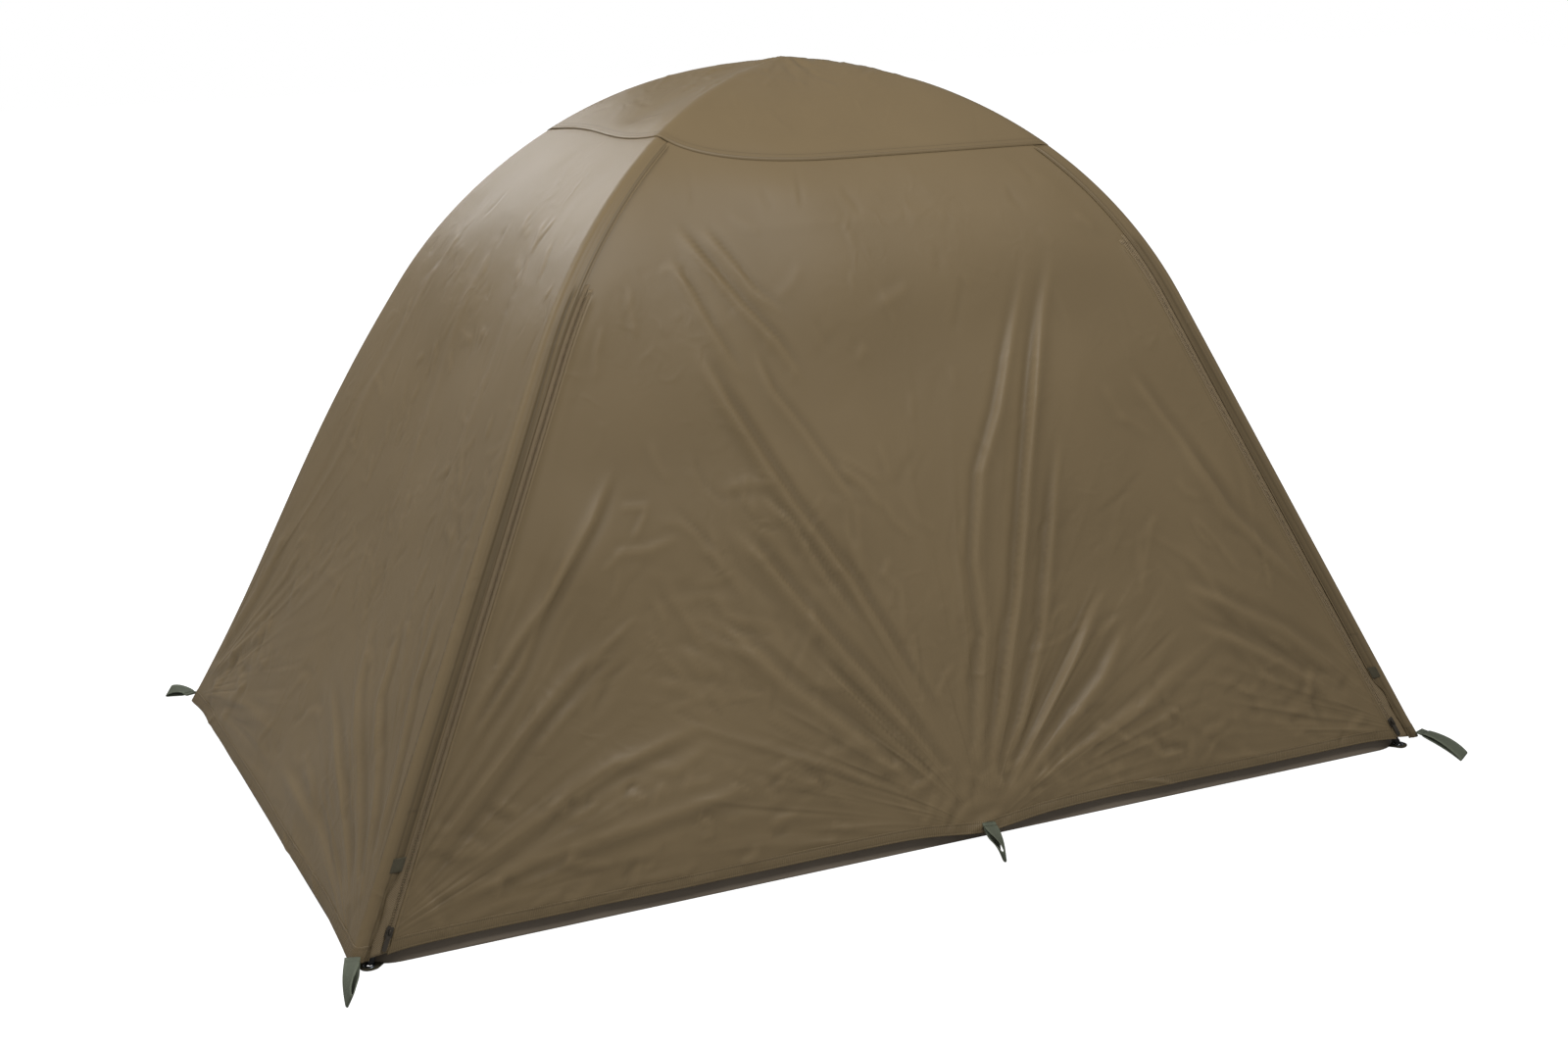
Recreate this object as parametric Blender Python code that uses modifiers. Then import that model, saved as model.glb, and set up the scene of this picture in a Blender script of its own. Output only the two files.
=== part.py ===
"""One-person dome bivvy tent, pitched and zipped shut.

Two poles cross under the roof and stand in eyelets at the four corners of a tub
groundsheet. Each half of a ridge is a straight leg that bends into a circular arc, and
every side of the fly is ruled level between two neighbouring ridges, so it is flat
below the bend. The door is the flat part of the front, hung from a fold line and closed
by a zip beside each front ridge.

Metres, +Z up. X runs along the door side, the door faces -Y, and the origin is on the
ground at the middle of the groundsheet.
"""
from math import asin, atan2, cos, hypot, pi, radians, sin, sqrt, tan

import bmesh
import bpy
from mathutils import Matrix, Vector

# Driving dimensions of the pitched fly
WIDTH = 2.14                # between the fly corners along the door side
DEPTH = 1.27                # between the fly corners along the short side
LEG_LENGTH = 1.0            # straight part of a ridge, from the fly corner to the bend
LEG_TILT = radians(60.2)    # of that straight part, from the ground
FOOT_RISE = 0.030           # of the fly corners above the ground
ROOF_CAP_DROP = 0.166       # from the apex down to the roof cap's lower edge
FOLD_DROP = 0.0228          # from the bend down to the line that the door hangs from

# Cloth and seams
CLOTH = 0.002               # thickness that stands for the coated fly fabric
GAP = 0.0003                # between pieces that touch
SEAM_SPACE = 0.0014         # under the roof cap, whose mitred corners hang lower inside
STRIP_WIDTH = 0.040         # by which a side panel wraps over the ridge
HEM_WIDTH = 0.020
HEM_CLOTH = 0.001
ARC_STEPS = 20              # facets along each roof arc

# Poles
POLE_RADIUS = 0.00425
POLE_WALL = 0.0006
POLE_SECTIONS = 7
POLE_FOOT_INSET = 0.035     # of a pole's tip from the fly corner, along the diagonal
POLE_TIP_RISE = 0.0022      # of a pole's tip above the ground

REACH = hypot(WIDTH, DEPTH) / 2
ROOF_RADIUS = (REACH - LEG_LENGTH * cos(LEG_TILT)) / sin(LEG_TILT)
LEG_TOP = LEG_LENGTH * sin(LEG_TILT)
ARC_CENTRE = LEG_TOP - ROOF_RADIUS * cos(LEG_TILT)
APEX_RISE = ARC_CENTRE + ROOF_RADIUS
ROOF_SEAM_RISE = APEX_RISE - ROOF_CAP_DROP
FOLD_RISE = LEG_TOP - FOLD_DROP
FRONT, RIGHT, BACK, LEFT = range(4)

for old in list(bpy.data.objects):
    bpy.data.objects.remove(old, do_unlink=True)


def new_collection(name):
    collection = bpy.data.collections.new(name)
    bpy.context.scene.collection.children.link(collection)
    return collection


PARTS = new_collection("bivvy_tent")
CUTTERS = new_collection("cutters")


def material(name, colour, roughness, metallic=0.0):
    made = bpy.data.materials.new(name)
    made.use_nodes = True
    shader = made.node_tree.nodes["Principled BSDF"]
    shader.inputs["Base Color"].default_value = (*colour, 1.0)
    shader.inputs["Roughness"].default_value = roughness
    shader.inputs["Metallic"].default_value = metallic
    return made


def finish(name, data, surface, matrix=None):
    """Put a finished mesh or curve in the tent's collection, with a material of its own."""
    data.materials.append(surface.copy())
    data.materials[0].name = name
    made = bpy.data.objects.new(name, data)
    if matrix is not None:
        made.matrix_world = matrix
    PARTS.objects.link(made)
    return made


FLY_CLOTH = material("fly_cloth", (0.16, 0.13, 0.085), 0.55)
TUB_CLOTH = material("tub_cloth", (0.13, 0.115, 0.09), 0.6)
WEBBING = material("webbing", (0.10, 0.12, 0.09), 0.85)
ZIP_TAPE = material("zip_tape", (0.11, 0.095, 0.06), 0.8)
ZIP_METAL = material("zip_metal", (0.10, 0.09, 0.075), 0.4, 0.8)
TUBE_METAL = material("tube_metal", (0.12, 0.12, 0.13), 0.35, 1.0)
STEEL = material("steel", (0.42, 0.45, 0.50), 0.3, 1.0)
CAP_PLASTIC = material("cap_plastic", (0.02, 0.02, 0.02), 0.45)
SHOCK_CORD = material("shock_cord", (0.75, 0.70, 0.68), 0.8)


# The shape of the fly

def ridge_run(rise):
    """How far a ridge has come in from its corner, level along the diagonal."""
    if rise <= LEG_TOP:
        return rise / tan(LEG_TILT)
    height = min(rise - ARC_CENTRE, ROOF_RADIUS)
    return REACH - sqrt(ROOF_RADIUS ** 2 - height ** 2)


def ridge_grade(rise):
    """Run gained for each unit of rise."""
    if rise <= LEG_TOP:
        return 1 / tan(LEG_TILT)
    height = rise - ARC_CENTRE
    return height / sqrt(ROOF_RADIUS ** 2 - height ** 2)


def face_halves(turn):
    """Half the base of a side of the tent, and how far that side stands from the middle."""
    if turn in (FRONT, BACK):
        return WIDTH / 2, DEPTH / 2
    return DEPTH / 2, WIDTH / 2


def turned(along, out, turn):
    """Plan position of a point that is placed as if on the front."""
    x, y = along, -out
    for _ in range(turn):
        x, y = -y, x
    return x, y


def fly_point(turn, edge, inset, rise, lift=0.0):
    """A point on a side of the fly. The edge, -1 or 1, is the ridge that the inset runs
    from along the side, and lift is how far the point stands off the cloth."""
    half_along, half_out = face_halves(turn)
    share = 1 - ridge_run(rise) / REACH
    grade = ridge_grade(rise) / REACH
    out = half_out * share + lift * hypot(1, half_out * grade)
    along = half_along * share - inset
    if inset == 0:
        along += lift * hypot(1, half_along * grade)
    return Vector((*turned(edge * along, out, turn), FOOT_RISE + rise))


def rises_between(low, high):
    """Rows for a panel: its two edges, the bend, the facets of the roof arc, and the
    step above the zips, so that every panel has the same facets."""
    middle = [ZIP_TOP_RISE + GAP, ZIP_TOP_RISE + TAPE_LAP]
    for step in range(ARC_STEPS):
        angle = LEG_TILT * (1 - step / ARC_STEPS)
        middle.append(ARC_CENTRE + ROOF_RADIUS * cos(angle))
    inside = [rise for rise in sorted(middle) if low + CLOTH < rise < high - CLOTH]
    return [low, *inside, high]


def grid_mesh(name, rows, wrap=False, tip=None):
    """An open surface through rows of points, lowest row first, seen from outside."""
    shape = bmesh.new()
    made = [[shape.verts.new(point) for point in row] for row in rows]
    columns = len(rows[0])
    for lower, upper in zip(made, made[1:]):
        for column in range(columns if wrap else columns - 1):
            beside = (column + 1) % columns
            shape.faces.new((lower[column], lower[beside], upper[beside], upper[column]))
    if tip is not None:
        top = shape.verts.new(tip)
        for column in range(columns):
            shape.faces.new((made[-1][column], made[-1][(column + 1) % columns], top))
    mesh = bpy.data.meshes.new(name)
    shape.to_mesh(mesh)
    shape.free()
    return mesh


def thicken(made, thickness, offset):
    wall = made.modifiers.new("wall", "SOLIDIFY")
    wall.thickness = thickness
    wall.offset = offset
    wall.use_even_offset = True
    wall.use_rim = True
    return made


def panel(name, columns, rises, surface=FLY_CLOTH, wrap=False, tip=None):
    """A sewn panel whose outer surface is the fly's, with its thickness inside."""
    rows = [[fly_point(turn, edge, inset, rise) for turn, edge, inset in columns]
            for rise in rises]
    made = finish(name, grid_mesh(name, rows, wrap, tip), surface)
    return thicken(made, CLOTH, -1)


def overlay(name, columns, rises, thickness, surface, lift=GAP):
    """A strip sewn on the outside of the fly."""
    rows = [[fly_point(turn, edge, inset, rise, lift) for turn, edge, inset in columns]
            for rise in rises]
    made = finish(name, grid_mesh(name, rows), surface)
    return thicken(made, thickness, 1)


# Fly panels

def roof_cap():
    ridges = [(FRONT, -1, 0), (FRONT, 1, 0), (BACK, -1, 0), (BACK, 1, 0)]
    seam = ROOF_SEAM_RISE + SEAM_SPACE
    return panel("roof_cap", ridges, rises_between(seam, APEX_RISE)[:-1], wrap=True,
                 tip=Vector((0, 0, FOOT_RISE + APEX_RISE)))


def side_columns(turn, inset):
    """Columns of a short side with the strips by which it wraps over both its ridges."""
    before, after = (turn - 1) % 4, (turn + 1) % 4
    return [(before, 1, inset), (turn, -1, 0), (turn, 1, 0), (after, -1, inset)]


def side_panel(name, turn):
    return panel(name, side_columns(turn, STRIP_WIDTH), rises_between(0, ROOF_SEAM_RISE))


def side_hem(name, turn):
    return overlay(name, side_columns(turn, STRIP_WIDTH), [0, HEM_WIDTH], HEM_CLOTH, FLY_CLOTH)


def back_panel():
    inset = STRIP_WIDTH + GAP
    columns = [(BACK, -1, inset), (BACK, 1, inset)]
    panel("back_panel", columns, rises_between(0, ROOF_SEAM_RISE))
    overlay("back_hem", columns, [0, HEM_WIDTH], HEM_CLOTH, FLY_CLOTH)


# Zips, each beside a front ridge and parallel to it

TAPE = 0.0008                   # thickness of the woven tape
TAPE_LAP = 0.006                # by which the tape overlaps the cloth that it is sewn to
CHAIN_WIDTH = 0.003             # of one half of the coil
CHAIN_HEIGHT = 0.0024
SLIDER_WIDTH = 0.012
SLIDER_LENGTH = 0.018
SLIDER_PLATE = 0.0015
SLIDER_FLANGE = 0.0010
SLIDER_POST = 0.0012            # the wedge between the two halves of the coil
SLIDER_POST_LENGTH = 0.006
SLIDER_PLAY = 0.0005
ZIP_ABOVE_FOLD = 0.128          # rise of the stretch that ends where the halves are sewn together
ZIP_CLEARANCE = 0.0014          # between the slider and the cloth beside it
FOLD_SPACE = 0.003              # left bare above and below the fold line
TAB_RISE = 0.118
TAB_LENGTH = 0.024
TAB_WIDTH = 0.020
TAB_CLOTH = 0.0012
TOP_BAR = 0.008

ZIP_FOOT_RISE = HEM_WIDTH + 3 * GAP
ZIP_TOP_RISE = FOLD_RISE + ZIP_ABOVE_FOLD
LEG_GRADE = ridge_grade(0) / REACH
ZIP_DIRECTION = Vector((WIDTH / 2 * LEG_GRADE, DEPTH / 2 * LEG_GRADE, 1)).normalized()
RISE_SHARE = ZIP_DIRECTION.z
ACROSS_SHARE = hypot(ZIP_DIRECTION.y, ZIP_DIRECTION.z)
SLIDER_BAND = (SLIDER_WIDTH / 2 + ZIP_CLEARANCE) / ACROSS_SHARE
ZIP_INSET = STRIP_WIDTH + SLIDER_BAND       # of the zip's middle, along the front
DOOR_INSET = ZIP_INSET + SLIDER_BAND
CHAIN_SPACE = (SLIDER_POST / 2 + GAP) / ACROSS_SHARE
CHAIN_OUTER = CHAIN_SPACE + CHAIN_WIDTH
SLIDER_REST_RISE = ZIP_FOOT_RISE + (SLIDER_LENGTH / 2 + SLIDER_PLAY) * RISE_SHARE
DOOR_ZIP_RISE = SLIDER_REST_RISE + (SLIDER_LENGTH / 2 + SLIDER_PLAY) * RISE_SHARE


def loft(name, rows, surface):
    """A closed body through sections with the same number of points."""
    shape = bmesh.new()
    made = [[shape.verts.new(point) for point in row] for row in rows]
    count = len(rows[0])
    for lower, upper in zip(made, made[1:]):
        for corner in range(count):
            beside = (corner + 1) % count
            shape.faces.new((lower[corner], lower[beside], upper[beside], upper[corner]))
    shape.faces.new(made[0])
    shape.faces.new(made[-1])
    bmesh.ops.recalc_face_normals(shape, faces=shape.faces)
    mesh = bpy.data.meshes.new(name)
    shape.to_mesh(mesh)
    shape.free()
    return finish(name, mesh, surface)


def zip_profile(side, lap_to):
    """Section of one zip half as insets and lifts: a flat tape that ends in the coil.
    The side is -1 towards the ridge and 1 towards the door."""
    inner = ZIP_INSET + side * CHAIN_SPACE
    outer = ZIP_INSET + side * CHAIN_OUTER
    return [(inner, GAP), (lap_to, GAP), (lap_to, GAP + TAPE), (outer, GAP + TAPE),
            (outer, GAP + CHAIN_HEIGHT), (inner, GAP + CHAIN_HEIGHT)]


def front_point(edge, inset, rise, lift):
    """A point that stands square off the front."""
    grade = DEPTH / 2 * ridge_grade(rise) / REACH
    return fly_point(FRONT, edge, inset, rise) + lift * Vector((0, -1, grade)).normalized()


def zip_half(name, edge, side, low, high):
    lap_to = STRIP_WIDTH - TAPE_LAP if side < 0 else DOOR_INSET + TAPE_LAP
    section = zip_profile(side, lap_to)
    rows = [[front_point(edge, inset, rise, lift) for inset, lift in section]
            for rise in rises_between(low, high)]
    return loft(name, rows, ZIP_TAPE)


def zip_top_bar(name, edge):
    """The bar of stitching that closes a zip's top end, as a block across both tapes."""
    near, far = STRIP_WIDTH, DOOR_INSET
    low, high = GAP + TAPE / 2, GAP + CHAIN_HEIGHT + TAPE / 2
    section = [(near, low), (far, low), (far, high), (near, high)]
    ends = (ZIP_TOP_RISE - TOP_BAR * RISE_SHARE, ZIP_TOP_RISE + TAPE)
    rows = [[front_point(edge, inset, rise, lift) for inset, lift in section]
            for rise in ends]
    return loft(name, rows, ZIP_TAPE)


def as_cutter(made):
    """Take a finished object out of the tent, to use it in a Boolean."""
    PARTS.objects.unlink(made)
    CUTTERS.objects.link(made)
    made.hide_render = True
    made.display_type = "WIRE"
    return made


def zips(side_name, edge):
    """The ridge-side half, which carries the stretch above the fold line, the door-side
    half, and the stitched tab that holds the lower end of the tape down."""
    fly_half = f"{side_name}_zip_fly_half"
    kept = zip_half(fly_half, edge, -1, ZIP_FOOT_RISE, ZIP_TOP_RISE)
    above = zip_half(f"{fly_half}_above", edge, 1, FOLD_RISE + FOLD_SPACE, ZIP_TOP_RISE)
    boolean(kept, as_cutter(above), "UNION")
    boolean(kept, as_cutter(zip_top_bar(f"{fly_half}_bar", edge)), "UNION")
    zip_half(f"{side_name}_zip_door_half", edge, 1, DOOR_ZIP_RISE, FOLD_RISE - FOLD_SPACE)
    far = STRIP_WIDTH - TAPE_LAP / 3
    columns = [(FRONT, edge, far - TAB_WIDTH), (FRONT, edge, far)]
    if edge > 0:
        columns.reverse()
    overlay(f"{side_name}_zip_tab", columns, [TAB_RISE, TAB_RISE + TAB_LENGTH * RISE_SHARE],
            TAB_CLOTH, WEBBING, lift=2 * GAP + TAPE)


def door():
    columns = [(FRONT, -1, DOOR_INSET), (FRONT, 1, DOOR_INSET)]
    panel("door_panel", columns, [0, FOLD_RISE - GAP])
    overlay("door_hem", columns, [0, HEM_WIDTH], HEM_CLOTH, FLY_CLOTH)


def front_header():
    """The front between the fold line and the roof seam. Its edges step out to the strips
    above the tops of the zips."""
    low, high = ZIP_TOP_RISE + GAP, ZIP_TOP_RISE + TAPE_LAP
    rows = []
    for rise in rises_between(FOLD_RISE + GAP, ROOF_SEAM_RISE):
        share = min(max((rise - low) / (high - low), 0), 1)
        inset = DOOR_INSET + (STRIP_WIDTH + GAP - DOOR_INSET) * share
        rows.append([fly_point(FRONT, edge, inset, rise) for edge in (-1, 1)])
    made = finish("front_header", grid_mesh("front_header", rows), FLY_CLOTH)
    return thicken(made, CLOTH, -1)


# Zip sliders and their pulls

LUG_WIDTH = 0.003
LUG_LENGTH = 0.008
LUG_HEIGHT = 0.0040
LUG_WINDOW = 0.0040
LUG_ROOF = 0.0014
PULL_WIDTH = 0.008
PULL_LENGTH = 0.032
PULL_PLATE = 0.0014
PULL_BAR = 0.0014
PULL_WINDOW = 0.0056
PULL_WINDOW_WIDTH = 0.0046
OVERRUN = 0.004                 # by which a cutter passes the faces that it cuts

CHANNEL_HEIGHT = CHAIN_HEIGHT + 2 * GAP
SLIDER_TOP = CHANNEL_HEIGHT + SLIDER_PLATE
PULL_AXIS_LIFT = SLIDER_TOP + GAP + PULL_PLATE / 2


def box_mesh(name, low, high):
    shape = bmesh.new()
    bmesh.ops.create_cube(shape, size=1)
    size = Vector(high) - Vector(low)
    middle = (Vector(high) + Vector(low)) / 2
    bmesh.ops.scale(shape, vec=size, verts=shape.verts)
    bmesh.ops.translate(shape, vec=middle, verts=shape.verts)
    mesh = bpy.data.meshes.new(name)
    shape.to_mesh(mesh)
    shape.free()
    return mesh


def cutter_box(name, low, high, matrix):
    made = bpy.data.objects.new(name, box_mesh(name, low, high))
    made.matrix_world = matrix
    made.hide_render = True
    made.display_type = "WIRE"
    CUTTERS.objects.link(made)
    return made


def boolean(made, other, operation):
    step = made.modifiers.new(operation.lower(), "BOOLEAN")
    step.operation = operation
    step.solver = "EXACT"
    step.object = other


def zip_frame(edge, rise):
    """Axes on the zip: X across it away from the ridge, Y up along it, Z off the cloth."""
    origin = fly_point(FRONT, edge, ZIP_INSET, rise)
    up = Vector((-edge * ZIP_DIRECTION.x, ZIP_DIRECTION.y, ZIP_DIRECTION.z))
    outward = Vector((0, -1, DEPTH / 2 * LEG_GRADE)).normalized()
    across = up.cross(outward)
    columns = Matrix((across, up, outward)).transposed().to_4x4()
    return Matrix.Translation(origin) @ columns


def zip_slider(side_name, edge):
    """Two plates held apart by a post, with a slot for each tape and a lug for the pull."""
    frame = zip_frame(edge, SLIDER_REST_RISE)
    half_width, half_length = SLIDER_WIDTH / 2, SLIDER_LENGTH / 2
    name = f"{side_name}_zip_slider"
    mesh = box_mesh(name, (-half_width, -half_length, -SLIDER_PLATE),
                    (half_width, half_length, SLIDER_TOP))
    made = finish(name, mesh, ZIP_METAL, frame)
    past = half_length + OVERRUN
    inner = half_width - SLIDER_FLANGE
    post = SLIDER_POST / 2
    post_foot = half_length - SLIDER_POST_LENGTH
    slot_low, slot_high = 0, TAPE + 2 * GAP
    cuts = {
        "left_channel": ((-inner, -past, 0), (-post, past, CHANNEL_HEIGHT)),
        "right_channel": ((post, -past, 0), (inner, past, CHANNEL_HEIGHT)),
        "mouth": ((-inner + GAP, -past, 0), (inner - GAP, post_foot, CHANNEL_HEIGHT)),
        "left_slot": ((-half_width - OVERRUN, -past, slot_low), (-inner + GAP, past, slot_high)),
        "right_slot": ((inner - GAP, -past, slot_low), (half_width + OVERRUN, past, slot_high)),
    }
    for cut, (low, high) in cuts.items():
        boolean(made, cutter_box(f"{name}_{cut}", low, high, frame), "DIFFERENCE")
    lug_foot = SLIDER_TOP - SLIDER_PLATE / 2
    lug = cutter_box(f"{name}_lug", (-LUG_WIDTH / 2, -LUG_LENGTH / 2, lug_foot),
                     (LUG_WIDTH / 2, LUG_LENGTH / 2, SLIDER_TOP + LUG_HEIGHT), frame)
    boolean(made, lug, "UNION")
    window_top = SLIDER_TOP + LUG_HEIGHT - LUG_ROOF
    window = cutter_box(f"{name}_lug_window", (-LUG_WIDTH, -LUG_WINDOW / 2, SLIDER_TOP),
                        (LUG_WIDTH, LUG_WINDOW / 2, window_top), frame)
    boolean(made, window, "DIFFERENCE")
    return made


def outline_curve(name, loops, thickness):
    """A flat plate from closed outlines, the outer one first."""
    curve = bpy.data.curves.new(name, "CURVE")
    curve.dimensions = "2D"
    curve.fill_mode = "BOTH"
    curve.extrude = thickness / 2
    for loop in loops:
        spline = curve.splines.new("POLY")
        spline.points.add(len(loop) - 1)
        for point, (x, y) in zip(spline.points, loop):
            point.co = (x, y, 0, 1)
        spline.use_cyclic_u = True
    return curve


def curve_to_mesh(name, curve, matrix, surface):
    """The curve as a welded mesh object, for pieces that a curve can't be left as."""
    shown = bpy.data.objects.new(f"{name}_outline", curve)
    shown.matrix_world = matrix
    CUTTERS.objects.link(shown)
    graph = bpy.context.evaluated_depsgraph_get()
    mesh = bpy.data.meshes.new_from_object(shown.evaluated_get(graph))
    mesh.name = name
    mesh.materials.clear()
    shape = bmesh.new()
    shape.from_mesh(mesh)
    bmesh.ops.remove_doubles(shape, verts=shape.verts, dist=GAP / 30)
    bmesh.ops.recalc_face_normals(shape, faces=shape.faces)
    shape.to_mesh(mesh)
    shape.free()
    bpy.data.objects.remove(shown, do_unlink=True)
    return finish(name, mesh, surface, matrix)


def arc(centre, radius, start, end, steps):
    return [(centre[0] + radius * cos(start + (end - start) * step / steps),
             centre[1] + radius * sin(start + (end - start) * step / steps))
            for step in range(steps + 1)]


def rectangle(low_x, low_y, high_x, high_y):
    return [(low_x, low_y), (high_x, low_y), (high_x, high_y), (low_x, high_y)]


def zip_pull(side_name, edge):
    """A flat pull whose cross bar lies under the slider's lug. It hangs down the zip."""
    frame = zip_frame(edge, SLIDER_REST_RISE) @ Matrix.Translation((0, 0, PULL_AXIS_LIFT))
    half, bar = PULL_WIDTH / 2, PULL_BAR / 2
    foot = -PULL_LENGTH + half
    outer = [(half, bar), (-half, bar), *arc((0, foot), half, pi, 2 * pi, 8)]
    window = rectangle(-PULL_WINDOW_WIDTH / 2, -bar - PULL_WINDOW, PULL_WINDOW_WIDTH / 2, -bar)
    name = f"{side_name}_zip_pull"
    return curve_to_mesh(name, outline_curve(name, [outer, window], PULL_PLATE), frame, ZIP_METAL)


# Poles

SPIGOT_LENGTH = 0.040           # of the narrowed end that slips into the next section
SHOULDER_LENGTH = 0.0012
CORD_RADIUS = 0.00125
SLEEVE_FOOT = 0.30              # up the leg, where the sleeve on the fly's inside starts
SLEEVE_SPREAD = 0.034           # from the ridge to each sewn edge of the sleeve
SLEEVE_CLOTH = 0.001
SLEEVE_PLAY = 0.0012            # between a pole and the cloth under it
SLEEVE_END = 0.125              # short of the crossing
POLE_SIDES_RESOLUTION = 2
POLE_SIDES = 2 * (POLE_SIDES_RESOLUTION + 2)
LEG_STEPS = 3

SPIGOT_RADIUS = POLE_RADIUS - POLE_WALL / cos(pi / POLE_SIDES) - 2 * GAP
FRONT_SHARE = (DEPTH / 2 / REACH) / hypot(WIDTH / 2 / REACH * sin(LEG_TILT), DEPTH / 2 / REACH)
ARC_SAG = ROOF_RADIUS * (1 - cos(LEG_TILT / ARC_STEPS / 2))
UPPER_INSET = (POLE_RADIUS + CLOTH + GAP) / FRONT_SHARE + ARC_SAG
LOWER_INSET = UPPER_INSET + 2 * POLE_RADIUS + 2 * GAP + ARC_SAG
LEG_DROP = CLOTH + 2 * GAP      # of a sleeve's sewn edges below the fly's outer surface
ROOF_DROP = LEG_DROP + 3 * ARC_SAG


def pole_path(inset):
    """A pole's middle line in its own upright plane, from one tip to the other, as
    distances from the tent's middle and heights. Each leg meets the roof arc as a
    tangent."""
    radius = ROOF_RADIUS - inset
    centre = FOOT_RISE + ARC_CENTRE
    foot = REACH - POLE_FOOT_INSET
    drop = centre - POLE_TIP_RISE
    span = hypot(foot, drop)
    tilt = atan2(drop, foot) + asin(radius / span)
    leg = sqrt(span ** 2 - radius ** 2)
    half = []
    for step in range(LEG_STEPS):
        done = leg * step / LEG_STEPS
        half.append((-foot + done * cos(tilt), POLE_TIP_RISE + done * sin(tilt)))
    for step in range(ARC_STEPS + 1):
        angle = tilt * (1 - step / ARC_STEPS)
        half.append((-radius * sin(angle), centre + radius * cos(angle)))
    other = [(-across, height) for across, height in reversed(half[:-1])]
    return half + other, tilt


def path_length(path):
    return sum(hypot(b[0] - a[0], b[1] - a[1]) for a, b in zip(path, path[1:]))


def path_piece(path, start, end):
    """The stretch of a path between two distances along it."""
    piece, passed = [], 0
    for a, b in zip(path, path[1:]):
        length = hypot(b[0] - a[0], b[1] - a[1])
        low, high = max(start - passed, 0), min(end - passed, length)
        if low < high:
            if not piece:
                piece.append([a[i] + (b[i] - a[i]) * low / length for i in range(2)])
            piece.append([a[i] + (b[i] - a[i]) * high / length for i in range(2)])
        passed += length
    return piece


def rod(name, path, mirror, radius, wall, surface, narrow=None):
    """A round bar or tube along a path in a pole's plane. Narrow is the radius of its far
    end, from the last two points of the path but one."""
    curve = bpy.data.curves.new(name, "CURVE")
    curve.dimensions = "3D"
    curve.bevel_depth = radius
    curve.bevel_resolution = POLE_SIDES_RESOLUTION
    curve.use_fill_caps = wall is None
    spline = curve.splines.new("POLY")
    spline.points.add(len(path) - 1)
    for point, (across, height) in zip(spline.points, path):
        x = mirror * across * WIDTH / 2 / REACH
        point.co = (x, across * DEPTH / 2 / REACH, height, 1)
    if narrow is not None:
        for point in spline.points[narrow[0]:]:
            point.radius = narrow[1] / radius
    made = finish(name, curve, surface)
    if wall is not None:
        thicken(made, wall, -1)
    return made


def pole(name, inset, mirror):
    """Tube sections with a cord through them all. Each has a narrowed end that slips into
    the next."""
    path, tilt = pole_path(inset)
    start = CAP_PIN_LENGTH + CAP_FLOOR + GAP
    end = path_length(path) - start
    section = (end - start) / POLE_SECTIONS
    for index in range(POLE_SECTIONS):
        low = start + section * index + GAP / 2 + (SHOULDER_LENGTH if index else 0)
        high = start + section * (index + 1) - GAP / 2
        piece = path_piece(path, low, high)
        narrow = None
        if index < POLE_SECTIONS - 1:
            spigot = path_piece(path, high + SHOULDER_LENGTH, high + SPIGOT_LENGTH)
            narrow = (len(piece), SPIGOT_RADIUS)
            piece = piece + spigot
        rod(f"{name}_section_{index + 1}", piece, mirror, POLE_RADIUS, POLE_WALL, TUBE_METAL,
            narrow)
    rod(f"{name}_cord", path_piece(path, start, end), mirror, CORD_RADIUS, None, SHOCK_CORD)


def pole_depth(inset, up_leg):
    """How far a pole's middle lies inside the ridge, square to it, part way up the leg."""
    path, tilt = pole_path(inset)
    out, high = path[0]
    corner_out, corner_high = -REACH, FOOT_RISE
    ridge_x = corner_out + up_leg * cos(LEG_TILT)
    ridge_z = corner_high + up_leg * sin(LEG_TILT)
    across = (out - ridge_x) * sin(tilt) - (high - ridge_z) * cos(tilt)
    return across / cos(tilt - LEG_TILT)


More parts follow.
